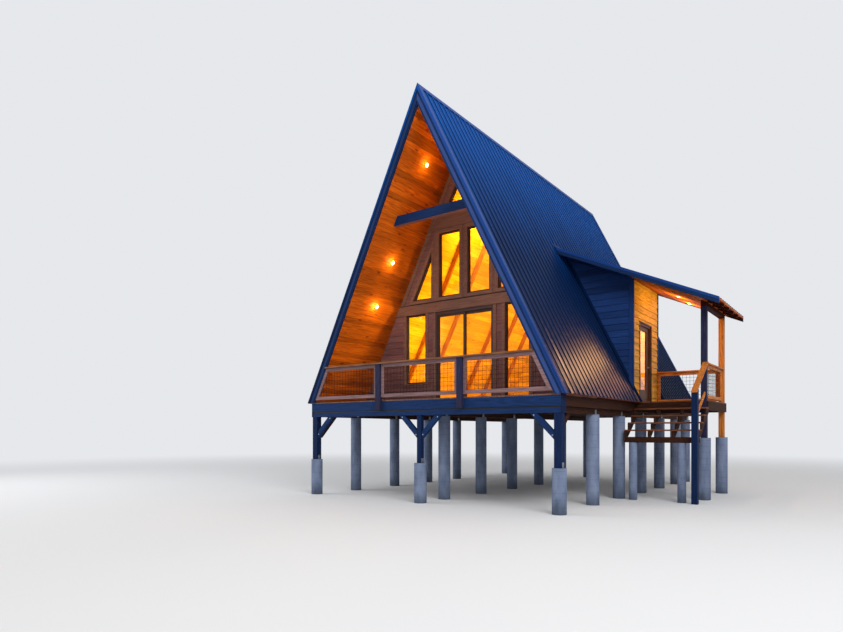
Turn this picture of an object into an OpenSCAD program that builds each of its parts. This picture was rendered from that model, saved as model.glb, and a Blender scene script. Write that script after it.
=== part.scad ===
// A-frame cabin on round piers, with a covered front deck, a side dormer, an entry porch and a stair
// Sizes are in millimetres. Inside the modules x = 0 is the ridge line, y = 0 the front face of the deck
// and z = 0 the top of the deck. The whole cabin is then set down with the middle of its base at the origin.

/* [Main roof] */
// Height of the ridge above the deck
ridge_h = 7580; // [7300:10:7900]
// Reach of the roof's outer faces past the platform, at deck level
roof_reach = 126; // [120:1:180]
// Length of the roof over its rake boards
roof_len = 11200; // [11100:10:12000]
// Build-up of rafters and sheathing, square to the slope
slab_thk = 177; // [150:1:200]
// Height of the ribbed metal sheet
sheet_h = 25; // [15:1:35]
// Thickness of the metal sheet between its ribs
pan_thk = 5; // [3:1:8]
// Spacing of the ribs
rib_pitch = 240; // [220:5:320]
// Width of a rib at its foot
rib_foot = 62; // [40:1:80]
// Width of a rib at its top
rib_crest = 26; // [18:1:36]
// Thickness of the metal edge flashing
flashing_thk = 3; // [2:1:5]
// Width of the edge flashing on the slope
flashing_w = 130; // [80:5:200]
// Thickness of the board lining under the roof
lining_thk = 19; // [12:1:25]
// Depth of the rake boards, square to the slope
rake_depth = 235; // [225:1:280]
// Thickness of the rake boards
rake_thk = 45; // [35:1:60]
// Joint between two boards that meet at the ridge
ridge_joint = 1; // [0.5:0.5:2]
// Depth of the rafters that show inside
inner_rafter_depth = 140; // [90:5:200]
// Width of the rafters that show inside
inner_rafter_w = 60; // [40:5:90]
// Spacing of the rafters that show inside
inner_rafter_pitch = 1220; // [900:10:1400]
// Height of the collar beam's underside above the deck
collar_z = 4550; // [4300:10:4700]
// Depth of the collar beam
collar_depth = 240; // [150:5:280]
// Distance of the collar beam behind the front of the deck
collar_y = 600; // [300:10:1200]
// Thickness of the collar beam along the ridge
collar_w = 140; // [90:5:200]

/* [Platform] */
// Height of the deck above the lowest ground
deck_h = 2510; // [2350:10:2900]
// Half width of the platform
platform_half_w = 3660; // [3640:1:3680]
// Thickness of the deck boards
board_thk = 30; // [25:1:40]
// Depth of the platform from the top of the boards to the bottom of the rim
rim_h = 255; // [220:1:300]
// Thickness of the rim boards and joists
rim_thk = 38; // [30:1:50]
// Depth of the beams under the rim
beam_h = 140; // [120:1:200]
// Width of the beams
beam_w = 140; // [120:1:160]
// Distance of the front beam's face behind the rim's face
beam_recess = 20; // [5:1:25]
// Distance of the side beams' middle inside the platform's edge
side_beam_inset = 160; // [155:1:210]
// Number of joists under the open deck
joist_count = 4; // [3:1:5]

/* [Piers and posts] */
// Diameter of the round concrete piers
pier_d = 305; // [260:1:310]
// Distance between piers along a row
pier_pitch = 1800; // [1700:10:1800]
// Place of the first pier in the left row
left_pier_y = 1600; // [1400:10:1700]
// Place of the first pier in the middle row
middle_pier_y = 1100; // [900:10:1500]
// Place of the first pier in the right row
right_pier_y = 2150; // [1900:10:2250]
// Depth below the deck of the tops of the front piers
front_pier_drop = 1550; // [1300:10:1800]
// Width of the front corner posts
corner_post_w = 165; // [140:1:190]
// Width of the front middle post
middle_post_w = 120; // [110:1:160]
// Reach of a knee brace along the beam
brace_reach = 570; // [500:10:700]
// Width of a knee brace
brace_w = 120; // [80:5:150]
// Thickness of a knee brace
brace_thk = 90; // [60:5:120]

/* [Front railing] */
// Height of the handrail above the deck
rail_h = 940; // [900:10:1070]
// Thickness of the handrail
rail_thk = 38; // [30:1:50]
// Width of the handrail
rail_cap_w = 140; // [120:5:160]
// Place of a railing post from the ridge line
rail_post_x = 1220; // [1000:10:1500]
// Width of a railing post
rail_post_w = 150; // [90:5:180]
// Depth of a railing post in front of the rim
rail_post_d = 90; // [80:1:110]
// Thickness of a panel frame
panel_thk = 38; // [30:1:42]
// Width of the bars of a panel frame
panel_bar = 85; // [60:1:95]
// Height of a panel's underside above the deck
panel_gap = 65; // [60:5:140]
// Spacing of the wires in a panel
wire_pitch = 100; // [100:5:150]
// Thickness of the wires
wire_d = 6; // [4:1:8]

/* [Front wall] */
// Distance of the front wall behind the front of the deck
wall_y = 2018; // [1900:1:2100]
// Overhang of the roof past the back wall
back_overhang = 310; // [200:5:400]
// Thickness of the outer walls
wall_thk = 140; // [120:1:160]
// Height of the heads of the lower windows and the sliding door
head_h = 2490; // [2400:5:2550]
// Half width of the sliding door's opening
slider_half_w = 910; // [890:5:950]
// Inner edge of a lower window from the ridge line
low_win_in = 1250; // [1200:10:1300]
// Outer edge of a lower window from the ridge line
low_win_out = 1940; // [1850:10:1950]
// Sill height of the left lower window
left_sill = 550; // [400:10:800]
// Sill height of the right lower window
right_sill = 90; // [60:10:300]
// Sill height of the upper windows
upper_sill = 2880; // [2860:10:2950]
// Head height of the tall upper windows
upper_head = 4640; // [4400:10:4700]
// Inner edge of a tall upper window from the ridge line
tall_win_in = 120; // [110:5:160]
// Outer edge of a tall upper window from the ridge line
tall_win_out = 800; // [700:10:810]
// Upright edge of a triangular window from the ridge line
corner_win_in = 1050; // [1020:10:1100]
// Tip of a triangular window from the ridge line
corner_win_out = 1700; // [1600:10:1720]
// Sill height of the top triangle
apex_sill = 5380; // [5300:10:5450]
// Half width of the top triangle at its sill
apex_half_w = 500; // [400:10:510]
// Width of the fixed window frames
frame_w = 35; // [25:1:50]
// Thickness of the fixed window frames
frame_thk = 90; // [60:5:110]
// Thickness of the panes
pane_thk = 10; // [6:1:16]
// Width of the casing boards round the windows
casing_w = 90; // [60:5:95]
// Thickness of the casing boards
casing_thk = 30; // [24:1:36]
// Width of the boards round the entry door and on the entry wall's corners
entry_trim_w = 45; // [35:1:90]
// Depth of the broad band between the storeys
band_h = 210; // [150:5:215]
// Thickness of the broad band
band_thk = 48; // [40:1:60]

/* [Sliding door] */
// Width of the frame's uprights
slider_jamb = 45; // [40:1:55]
// Height of the frame's head
slider_head = 75; // [60:1:90]
// Height of the frame's sill
slider_sill = 30; // [20:1:40]
// Overlap of the two leaves at their meeting uprights
leaf_overlap = 60; // [50:1:70]
// Width of the uprights and rails of a leaf
leaf_bar = 60; // [50:1:70]
// Thickness of a leaf
leaf_thk = 40; // [35:1:42]
// Distance of the fixed leaf behind the wall's face
leaf_setback = 20; // [15:1:25]
// Clearance between moving leaves and what is beside them
leaf_gap = 5; // [5:1:7]
// Height of the lower end of the sliding door's pull
pull_z = 950; // [900:10:1000]
// Length of the sliding door's pull
pull_l = 250; // [200:10:300]
// Diameter of the sliding door's pull
pull_d = 16; // [12:1:18]
// Clearance of a leaf over its track
track_gap = 0.3; // [0.2:0.1:0.5]

/* [Dormer] */
// Front face of the dormer
dormer_y0 = 4800; // [4700:10:4900]
// Back face of the dormer
dormer_y1 = 7040; // [6980:10:7100]
// Thickness of the entry wall
entry_wall_thk = 90; // [85:1:140]
// Distance of the entry wall's face inside the platform's edge
entry_inset = 78; // [60:1:100]
// Overhang of the dormer roof at its front
dormer_over_front = 580; // [400:10:650]
// Overhang of the dormer roof at its back
dormer_over_back = 400; // [300:10:600]
// Pitch of the dormer roof in degrees
dormer_pitch = 24.5; // [22:0.5:26]
// Reach of the dormer's eave past the porch posts
dormer_eave_reach = 400; // [280:10:580]
// Height of the dormer's eave above the deck
dormer_eave_h = 2446; // [2430:1:2600]
// Build-up of the dormer roof, square to its slope
dormer_thk = 150; // [120:1:160]
// Thickness of the boards that run out over the dormer's eave
dormer_board_thk = 40; // [30:1:50]
// Thickness of the dormer's rake boards
dormer_rake_thk = 40; // [30:1:50]
// Number of rafter tails at the dormer's eave
tail_count = 6; // [4:1:8]

/* [Entry door] */
// Front edge of the doorway
door_y0 = 5355; // [5300:5:5400]
// Width of the doorway
doorway_w = 1010; // [960:5:1050]
// Height of the doorway
doorway_h = 2210; // [2150:5:2250]
// Width of the door frame's uprights and head
door_jamb = 40; // [35:1:50]
// Depth of the stop that the door shuts against
door_stop = 12; // [10:1:15]
// Height of the threshold
threshold_h = 80; // [60:5:90]
// Thickness of the door
door_thk = 45; // [40:1:50]
// Clearance round the door
door_gap = 5; // [5:1:6]
// Width of the door's glass
door_glass_w = 560; // [450:10:600]
// Height of the door's bottom rail
door_bottom_rail = 280; // [220:10:400]
// Height of the door's top rail
door_top_rail = 110; // [100:5:160]
// Height of the door handle above the threshold
door_handle_h = 960; // [900:10:1050]
// Distance of the door handle from the door's free edge
door_handle_inset = 70; // [60:5:75]
// Length of the door's lever
lever_l = 118; // [100:2:130]
// Diameter of the door's lever
lever_d = 16; // [12:1:20]
// Distance of the lever's middle from the door's face
lever_reach = 33; // [28:1:40]
// Diameter of the door handle's rose
rose_d = 54; // [45:1:60]
// Thickness of the door handle's rose
rose_thk = 9; // [6:1:12]
// Radius of a hinge pin
hinge_pin_r = 5; // [4:0.5:6]
// Running clearance of a hinge pin
hinge_gap = 0.3; // [0.2:0.05:0.4]
// Height of a hinge
hinge_h = 100; // [80:5:120]
// Distance of the outer hinges from the door's ends
hinge_inset = 180; // [150:5:300]

/* [Porch and stair] */
// Reach of the porch posts' outer face past the platform
porch_reach = 1760; // [1600:5:1800]
// Thickness of the porch deck's outer rim
porch_rim_thk = 40; // [30:1:50]
// Width of the porch posts
porch_post_w = 140; // [120:1:140]
// Height of the underside of the porch beam
porch_beam_z = 2360; // [2300:5:2370]
// Height of the porch railing
porch_rail_h = 960; // [900:10:1070]
// Height of a porch panel's underside above the deck
porch_panel_gap = 60; // [40:5:100]
// Depth below the deck of the tops of the porch piers
porch_pier_drop = 950; // [700:10:1200]
// Number of open treads
tread_count = 4; // [3:1:4]
// Rise of a step
step_rise = 185; // [170:1:195]
// Run of a step
step_run = 260; // [240:1:280]
// Thickness of a tread
tread_thk = 38; // [30:1:50]
// Distance of the stair's inner side from the platform
stair_gap = 40; // [20:5:100]
// Reach of the stair's outer side past the porch deck
stair_reach = 10; // [5:5:60]
// Number of stringers
stringer_count = 4; // [2:1:5]
// Thickness of a stringer
stringer_thk = 38; // [30:1:50]
// Height of the newel's handrail above the lowest tread
newel_h = 920; // [850:10:1000]
// Width of the newel
newel_w = 140; // [100:1:140]
// Distance of the stair's lower rail under its handrail
lower_rail_drop = 750; // [600:10:760]
// Height of the stair's lower rail
lower_rail_h = 90; // [60:5:100]
// Diameter of the piers under the stair's foot
stair_pier_d = 200; // [150:5:240]

/* [Hidden] */

navy = "#27406d";
slate = "#22335a";
umber = "#6b4b3c";
pine = "#c4722c";
deck_brown = "#5b4437";
concrete = "#8d95a0";
steel = "#9aa0a6";
glass = [0.95, 0.75, 0.35, 0.45];

// Seat between a sloping face and what is fitted under it
seat = 0.3;
// Distance that a cutting outline stands clear of the faces that it leaves alone
loose = 5;

// Places across the cabin, from the ridge line
roof_half_w = platform_half_w + roof_reach;
side_beam_x = platform_half_w - side_beam_inset;
entry_x = platform_half_w - entry_inset;
porch_post_x = platform_half_w + porch_reach;
porch_x = porch_post_x + porch_rim_thk;
dormer_eave_x = porch_post_x + dormer_eave_reach;
stair_x0 = platform_half_w + stair_gap;
stair_x1 = porch_x + stair_reach;

// Slope of the main roof, and its layers as depths below the outer face, square to the slope
slope = atan(ridge_h / roof_half_w);
sheet_top = flashing_thk;
slab_top = sheet_top + sheet_h;
slab_bottom = slab_top + slab_thk;
lining_bottom = slab_bottom + lining_thk;
roof_face = sheet_top - seat;
roof_y0 = -rake_thk;
roof_y1 = roof_y0 + roof_len;
back_y = roof_y1 - rake_thk - back_overhang;
rim_z = -rim_h;
beam_z = rim_z - beam_h;
front_y = -rail_post_d - (rail_cap_w - rail_post_d) / 2;

// Places of the dormer roof and the porch
dormer_roof_y0 = dormer_y0 - dormer_over_front;
dormer_roof_y1 = dormer_y1 + dormer_over_back;
porch_post_x0 = porch_post_x - porch_post_w;
door_y1 = door_y0 + doorway_w;
entry_in_x = entry_x - entry_wall_thk;
stair_y = dormer_y0 - tread_count * step_run;
ground_step_z = -(tread_count + 1) * step_rise;

// Middle of the whole cabin in plan
mid_x = (dormer_eave_x - roof_half_w) / 2;
mid_y = (roof_y1 + front_y) / 2;

// Half width and height of the main roof at a depth below its outer face
function half_at(depth, z = 0) = roof_half_w - depth / sin(slope) - z / tan(slope);
function top_at(depth) = ridge_h - depth / cos(slope);

// Height of the dormer roof at a distance from the ridge line and a depth below its top
function shed_z(x, depth = 0) =
  dormer_eave_h + (dormer_eave_x - x) * tan(dormer_pitch) - depth / cos(dormer_pitch);

// Point where a layer of the dormer roof meets a layer of the main roof
function shed_meet(shed_depth, roof_depth) =
  let (x = (half_at(roof_depth) * tan(slope) - shed_z(0, shed_depth)) / (tan(slope) - tan(dormer_pitch)))
  [x, shed_z(x, shed_depth)];

function box_points(x0, z0, x1, z1) = [[x0, z0], [x1, z0], [x1, z1], [x0, z1]];
function mirrored(points) = [for (i = [len(points) - 1 : -1 : 0]) [-points[i].x, points[i].y]];

// Outline moved inwards by an amount, for outlines that run anticlockwise
function inward(a, b) = let (d = b - a) [-d.y, d.x] / norm(d);
function inset(points, amount) =
  [for (i = [0 : len(points) - 1])
    let (a = points[(i + len(points) - 1) % len(points)], b = points[i], c = points[(i + 1) % len(points)],
      m = inward(a, b), n = inward(b, c))
    b + amount * (m + n) / (1 + m * n)];

// Outlines of the window openings in the two gable walls
function corner_window() =
  [[corner_win_in, upper_sill], [corner_win_out, upper_sill],
   [corner_win_in, upper_sill + (corner_win_out - corner_win_in) * tan(slope)]];
left_window = box_points(-low_win_out, left_sill, -low_win_in, head_h);
right_window = box_points(low_win_in, right_sill, low_win_out, head_h);
tall_window = box_points(tall_win_in, upper_sill, tall_win_out, upper_head);
apex_window = [[-apex_half_w, apex_sill], [apex_half_w, apex_sill],
  [0, apex_sill + apex_half_w * tan(slope)]];
upper_windows = [tall_window, mirrored(tall_window), corner_window(), mirrored(corner_window()), apex_window];
back_windows = [left_window, mirrored(left_window), tall_window, mirrored(tall_window)];
slider_opening = box_points(-slider_half_w, 0, slider_half_w, head_h);

// Sizes of the sliding door's leaves
slider_in = slider_half_w - slider_jamb;
leaf_w = slider_in + leaf_overlap / 2;
leaf_z0 = slider_sill + leaf_gap;
leaf_z1 = head_h - slider_head;
leaf_y = wall_y + leaf_setback;
moving_y = leaf_y + leaf_thk + leaf_gap + 1;

// Sizes of the entry door
door_x0 = entry_in_x + 2;
door_leaf_y0 = door_y0 + door_jamb + door_gap;
door_leaf_y1 = door_y1 - door_jamb - door_gap;
door_z0 = threshold_h + door_gap;
door_z1 = doorway_h - door_jamb - door_gap;
hinge_x = entry_in_x - 10;
hinge_y = door_y0 + door_jamb + door_gap / 2;
hinge_r = hinge_pin_r + hinge_gap + 3;
hinge_zs = [door_z0 + hinge_inset, (door_z0 + door_z1) / 2, door_z1 - hinge_inset];

module place() {
  translate([-mid_x, -mid_y, deck_h]) children();
}

// An outline in x and z, carried along y
module along_y(y0, y1) {
  translate([0, y1, 0]) rotate([90, 0, 0]) linear_extrude(y1 - y0) children();
}

// An outline in y and z, carried along x
module along_x(x0, x1) {
  translate([x0, 0, 0]) rotate([90, 0, 90]) linear_extrude(x1 - x0) children();
}

module box(x0, y0, z0, x1, y1, z1) {
  translate([x0, y0, z0]) cube([x1 - x0, y1 - y0, z1 - z0]);
}

module both_sides() {
  children();
  mirror([1, 0, 0]) children();
}

// One side of the main roof between two depths, from a height up to a plumb cut at the ridge line
module slope_band(depth0, depth1, z0 = 0, cut_x = 0) {
  fall = cut_x * tan(slope);
  polygon([[half_at(depth0, z0), z0], [half_at(depth1, z0), z0],
    [cut_x, top_at(depth1) - fall], [cut_x, top_at(depth0) - fall]]);
}

// The same band over the dormer, cut off along the dormer's ceiling
module slope_band_over_dormer(depth0, depth1) {
  polygon([shed_meet(dormer_thk, depth0), shed_meet(dormer_thk, depth1),
    [0, top_at(depth1)], [0, top_at(depth0)]]);
}

// Half width and height of what is fitted under the lining
function room_half(z) = half_at(lining_bottom + seat, z);
room_top = top_at(lining_bottom + seat);

// A gable outline inside the lining, between two heights
module gable(z0, z1) {
  polygon([[-room_half(z0), z0], [room_half(z0), z0], [room_half(z1), z1], [-room_half(z1), z1]]);
}

// A ribbed sheet that rises from a foot line towards the ridge line, with its rib crests in the sloping plane
module ribbed_sheet(foot_x, foot_z, pitch, y0, y1) {
  height = sheet_h - 2 * seat;
  count = floor((y1 - y0 - rib_foot) / rib_pitch);
  first = (y0 + y1 - count * rib_pitch) / 2;
  tail = (height + loose) * tan(pitch);
  rib = [[-rib_foot / 2, pan_thk], [-rib_crest / 2, height], [rib_crest / 2, height], [rib_foot / 2, pan_thk]];
  translate([foot_x, 0, foot_z]) rotate([0, pitch - 90, 0]) translate([-height, 0, -tail])
    linear_extrude(foot_x / cos(pitch) + 2 * tail)
      polygon(concat([[0, y1], [0, y0], [pan_thk, y0]],
        [for (i = [0 : count], p = rib) [p.y, first + i * rib_pitch + p.x]], [[pan_thk, y1]]));
}

module ring(points, width) {
  difference() {
    polygon(points);
    polygon(inset(points, width));
  }
}

// The two layers of a panel's welded wires, drawn flat
module upright_wires(points) {
  xs = [for (p = points) p.x];
  zs = [for (p = points) p.y];
  intersection() {
    polygon(inset(points, panel_bar - wire_d / 2));
    for (x = [min(xs) + wire_pitch : wire_pitch : max(xs) - panel_bar])
      translate([x, min(zs)]) square([wire_d, max(zs) - min(zs)]);
  }
}

module level_wires(points) {
  xs = [for (p = points) p.x];
  zs = [for (p = points) p.y];
  intersection() {
    polygon(inset(points, panel_bar - wire_d / 2));
    for (z = [min(zs) + wire_pitch : wire_pitch : max(zs) - panel_bar])
      translate([min(xs), z]) square([max(xs) - min(xs), wire_d]);
  }
}

// A framed panel of welded wire mesh
module mesh_panel_along_x(points, y0) {
  middle = y0 + panel_thk / 2;
  along_y(y0, y0 + panel_thk) ring(points, panel_bar);
  along_y(middle - wire_d, middle) upright_wires(points);
  along_y(middle, middle + wire_d) level_wires(points);
}

module mesh_panel_along_y(points, x0) {
  middle = x0 + panel_thk / 2;
  along_x(x0, x0 + panel_thk) ring(points, panel_bar);
  along_x(middle - wire_d, middle) level_wires(points);
  along_x(middle, middle + wire_d) upright_wires(points);
}

// A knee brace in the corner between a post's face and a beam's underside, drawn flat
module brace_outline() {
  inner = brace_reach - brace_w * sqrt(2);
  polygon([[inner, 0], [0, -inner], [0, -brace_reach], [brace_reach, 0]]);
}

module pier(x, y, top_z, d = pier_d) {
  translate([x, y, -deck_h]) cylinder(d = d, h = top_z + deck_h, $fn = 36);
}

// Main roof
module roof_left() {
  color(navy) mirror([1, 0, 0]) along_y(0, roof_y1 - rake_thk) slope_band(slab_top, slab_bottom);
}

module roof_right_front() {
  color(navy) along_y(0, dormer_y0) slope_band(slab_top, slab_bottom);
}

module roof_right_upper() {
  color(navy) along_y(dormer_y0, dormer_y1) slope_band_over_dormer(slab_top, slab_bottom);
}

module roof_right_back() {
  color(navy) along_y(dormer_y1, roof_y1 - rake_thk) slope_band(slab_top, slab_bottom);
}

module main_sheet() {
  ribbed_sheet(half_at(sheet_top + seat), 0, slope, roof_y0, roof_y1);
}

module roofing() {
  outer = sheet_top - loose;
  inner = slab_top + loose;
  color(navy) {
    mirror([1, 0, 0]) intersection() {
      along_y(roof_y0, roof_y1) slope_band(outer, inner);
      main_sheet();
    }
    intersection() {
      union() {
        along_y(roof_y0, dormer_y0) slope_band(outer, inner);
        along_y(dormer_y0, dormer_y1) slope_band_over_dormer(outer, inner);
        along_y(dormer_y1, roof_y1) slope_band(outer, inner);
      }
      main_sheet();
    }
  }
}

module roof_flashing() {
  color(slate) both_sides() difference() {
    along_y(roof_y0, roof_y1) slope_band(0, sheet_top);
    box(1, roof_y0 + flashing_w, -1, roof_half_w + 1, roof_y1 - flashing_w, ridge_h - flashing_w * sin(slope));
  }
}

module roof_lining() {
  color(pine) {
    mirror([1, 0, 0]) along_y(0, roof_y1 - rake_thk) slope_band(slab_bottom, lining_bottom);
    along_y(0, dormer_y0) slope_band(slab_bottom, lining_bottom);
    along_y(dormer_y0, dormer_y1) slope_band_over_dormer(slab_bottom, lining_bottom);
    along_y(dormer_y1, roof_y1 - rake_thk) slope_band(slab_bottom, lining_bottom);
  }
}

module rake_boards() {
  color(navy) {
    both_sides() {
      along_y(roof_y0, 0) slope_band(slab_top, rake_depth, 0, ridge_joint / 2);
      along_y(roof_y1 - rake_thk, roof_y1) slope_band(slab_top, rake_depth, 0, ridge_joint / 2);
    }
    for (y = [dormer_roof_y0, dormer_roof_y1 - dormer_rake_thk])
      along_y(y, y + dormer_rake_thk)
        polygon([shed_meet(sheet_h, roof_face), shed_meet(dormer_thk, roof_face),
          [dormer_eave_x, shed_z(dormer_eave_x, dormer_thk)], [dormer_eave_x, shed_z(dormer_eave_x, sheet_h)]]);
  }
}

module inner_rafters() {
  front = dormer_y0 - inner_rafter_w;
  back = dormer_y1;
  pitch = inner_rafter_pitch;
  color(pine)
    for (y = [front - pitch, front, back, back + pitch, back + 2 * pitch])
      along_y(y, y + inner_rafter_w) both_sides()
        slope_band(lining_bottom + seat, lining_bottom + inner_rafter_depth, 0, ridge_joint / 2);
}

module collar_beam() {
  color(navy) along_y(collar_y, collar_y + collar_w) gable(collar_z, collar_z + collar_depth);
}

// Platform
module house_floor() {
  edge = platform_half_w - rim_thk;
  color(pine) {
    box(-edge, wall_y, rim_z, edge, back_y - rim_thk, -board_thk);
    box(-platform_half_w, wall_y, -board_thk, platform_half_w, back_y, 0);
  }
}

module deck_boards() {
  color(deck_brown) box(-platform_half_w, 0, -board_thk, platform_half_w, wall_y, 0);
}

module deck_joists() {
  edge = platform_half_w - rim_thk;
  pitch = (wall_y - rim_thk) / (joist_count + 1);
  color(deck_brown) for (i = [1 : joist_count])
    box(-edge, i * pitch, rim_z, edge, i * pitch + rim_thk, -board_thk);
}

module rim_boards() {
  edge = platform_half_w - rim_thk;
  color(navy) {
    box(-platform_half_w, 0, rim_z, platform_half_w, rim_thk, -board_thk);
    box(-platform_half_w, back_y - rim_thk, rim_z, platform_half_w, back_y, -board_thk);
    both_sides() box(edge, rim_thk, rim_z, platform_half_w, back_y - rim_thk, -board_thk);
  }
}

module beams() {
  color(navy) {
    box(-platform_half_w, beam_recess, beam_z, platform_half_w, beam_recess + beam_w, rim_z);
    for (x = [-side_beam_x, 0, side_beam_x])
      box(x - beam_w / 2, beam_recess + beam_w, beam_z, x + beam_w / 2, back_y, rim_z);
  }
}

module piers() {
  corner_x = platform_half_w - corner_post_w / 2;
  corner_y = beam_recess + corner_post_w / 2;
  post_x = porch_post_x - porch_post_w / 2;
  last_y = back_y - pier_d / 2 - 20;
  sleeper_z = ground_step_z - beam_h;
  color(concrete) {
    for (row = [[-side_beam_x, left_pier_y, 4], [0, middle_pier_y, 4], [side_beam_x, right_pier_y, 4]])
      for (i = [0 : row[2]])
        pier(row[0], row[1] + i * pier_pitch, beam_z);
    for (x = [-side_beam_x, 0, side_beam_x])
      pier(x, last_y, beam_z);
    for (x = [-corner_x, corner_x])
      pier(x, corner_y, -front_pier_drop);
    pier(0, beam_recess + middle_post_w / 2, -front_pier_drop);
    pier(post_x, dormer_y0 + porch_post_w / 2, -porch_pier_drop);
    pier(post_x, dormer_y1 - porch_post_w / 2, -porch_pier_drop);
    for (x = [stair_x0 + stair_pier_d, stair_x1 - 2 * stair_pier_d])
      pier(x, stair_y + beam_w / 2, sleeper_z, stair_pier_d);
  }
}

module front_posts() {
  half = middle_post_w / 2;
  color(navy) {
    both_sides()
      box(platform_half_w - corner_post_w, beam_recess, -front_pier_drop,
        platform_half_w, beam_recess + corner_post_w, beam_z);
    box(-half, beam_recess, -front_pier_drop, half, beam_recess + middle_post_w, beam_z);
  }
}

module knee_braces() {
  y = beam_recess + beam_w / 2 - brace_thk / 2;
  color(navy) both_sides() {
    translate([platform_half_w - corner_post_w, 0, beam_z]) along_y(y, y + brace_thk)
      mirror([1, 0]) brace_outline();
    translate([middle_post_w / 2, 0, beam_z]) along_y(y, y + brace_thk) brace_outline();
    translate([0, beam_recess + corner_post_w, beam_z])
      along_x(side_beam_x - brace_thk / 2, side_beam_x + brace_thk / 2) brace_outline();
  }
}

// Front railing
module front_rail() {
  under = rail_h - rail_thk;
  color(deck_brown) {
    both_sides()
      box(rail_post_x - rail_post_w / 2, -rail_post_d, rim_z, rail_post_x + rail_post_w / 2, 0, under);
    along_y(front_y, front_y + rail_cap_w)
      polygon([[-half_at(rake_depth, under), under], [half_at(rake_depth, under), under],
        [half_at(rake_depth, rail_h), rail_h], [-half_at(rake_depth, rail_h), rail_h]]);
  }
}

function side_panel() =
  let (top = rail_h - rail_thk, inner = rail_post_x + rail_post_w / 2)
  [[inner, panel_gap], [half_at(rake_depth, panel_gap), panel_gap],
   [half_at(rake_depth, top), top], [inner, top]];

panel_y = -rake_thk + (rake_thk - panel_thk) / 2;

module rail_panel_left() {
  color(deck_brown) mesh_panel_along_x(mirrored(side_panel()), panel_y);
}

module rail_panel_middle() {
  half = rail_post_x - rail_post_w / 2;
  color(deck_brown) mesh_panel_along_x(box_points(-half, panel_gap, half, rail_h - rail_thk), panel_y);
}

module rail_panel_right() {
  color(deck_brown) mesh_panel_along_x(side_panel(), panel_y);
}

// Gable walls
module front_wall_left() {
  color(umber) along_y(wall_y, wall_y + wall_thk) difference() {
    polygon([[-room_half(0), 0], [-slider_half_w, 0], [-slider_half_w, head_h], [-room_half(head_h), head_h]]);
    polygon(left_window);
  }
}

module front_wall_right() {
  color(umber) along_y(wall_y, wall_y + wall_thk) difference() {
    polygon([[slider_half_w, 0], [room_half(0), 0], [room_half(head_h), head_h], [slider_half_w, head_h]]);
    polygon(right_window);
  }
}

module front_wall_upper() {
  color(umber) along_y(wall_y, wall_y + wall_thk) difference() {
    gable(head_h, room_top);
    for (window = upper_windows) polygon(window);
  }
}

module back_wall() {
  color(umber) along_y(back_y - wall_thk, back_y) difference() {
    gable(0, room_top);
    for (window = back_windows) polygon(window);
  }
}

// A corner board on a flank of the dormer, from the main roof up to the dormer's ceiling
module corner_board() {
  function on_roof(x) = [x, (half_at(roof_face) - x) * tan(slope)];
  function under_shed(x) = [x, shed_z(x, dormer_thk + seat)];
  inner = entry_x - casing_w;
  outer = entry_x + casing_thk;
  polygon([on_roof(inner), on_roof(outer), under_shed(outer), under_shed(inner)]);
}

module trim_boards() {
  color(umber) {
    along_y(wall_y - casing_thk, wall_y) difference() {
      intersection() {
        gable(0, room_top);
        union() {
          for (window = concat(upper_windows, [left_window, right_window])) polygon(inset(window, -casing_w));
          polygon(box_points(-slider_half_w - casing_w, 0, slider_half_w + casing_w, head_h + casing_w));
          polygon(box_points(-roof_half_w, head_h, roof_half_w, upper_sill));
        }
      }
      for (window = concat(upper_windows, [left_window, right_window])) polygon(window);
      polygon(box_points(-slider_half_w, -1, slider_half_w, head_h));
    }
    along_y(wall_y - band_thk, wall_y - casing_thk) gable(head_h, head_h + band_h);
    along_y(back_y, back_y + casing_thk) for (window = back_windows) ring(inset(window, -casing_w), casing_w);
    for (y = [dormer_y0 - casing_thk, dormer_y1])
      along_y(y, y + casing_thk) corner_board();
    for (y = [dormer_y0, dormer_y1 - entry_trim_w])
      along_y(y, y + entry_trim_w) polygon(box_points(entry_x, 0, entry_x + casing_thk, porch_beam_z - 1));
    along_x(entry_x, entry_x + casing_thk) difference() {
      polygon(box_points(door_y0 - entry_trim_w, 0, door_y1 + entry_trim_w, doorway_h + entry_trim_w));
      polygon(box_points(door_y0, -1, door_y1, doorway_h));
    }
  }
}

module window_frames() {
  y = wall_y + 10;
  back = back_y - 10 - frame_thk;
  color(umber) {
    for (window = concat(upper_windows, [left_window, right_window]))
      along_y(y, y + frame_thk) ring(window, frame_w);
    for (window = back_windows)
      along_y(back, back + frame_thk) ring(window, frame_w);
  }
}

module window_panes() {
  y = wall_y + 10 + (frame_thk - pane_thk) / 2;
  back = back_y - 10 - (frame_thk + pane_thk) / 2;
  fixed = inset(box_points(-slider_in, slider_sill, leaf_w - slider_in, leaf_z1), leaf_bar);
  color(glass) {
    for (window = concat(upper_windows, [left_window, right_window]))
      along_y(y, y + pane_thk) polygon(inset(window, frame_w));
    for (window = back_windows)
      along_y(back, back + pane_thk) polygon(inset(window, frame_w));
    along_y(leaf_y + (leaf_thk - pane_thk) / 2, leaf_y + (leaf_thk + pane_thk) / 2) polygon(fixed);
  }
}

// Sliding door
module slider_frame() {
  track_y = moving_y + leaf_thk / 2;
  color(slate) {
    along_y(wall_y, wall_y + wall_thk) difference() {
      polygon(slider_opening);
      polygon(box_points(-slider_in, slider_sill, slider_in, leaf_z1));
    }
    along_y(leaf_y, leaf_y + leaf_thk)
      ring(box_points(-slider_in, slider_sill, leaf_w - slider_in, leaf_z1), leaf_bar);
    box(-slider_in, track_y - 4, slider_sill, slider_in, track_y + 4, leaf_z0 - track_gap);
  }
}

function moving_leaf() = box_points(slider_in - leaf_gap - leaf_w, leaf_z0, slider_in - leaf_gap, leaf_z1 - leaf_gap);

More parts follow.
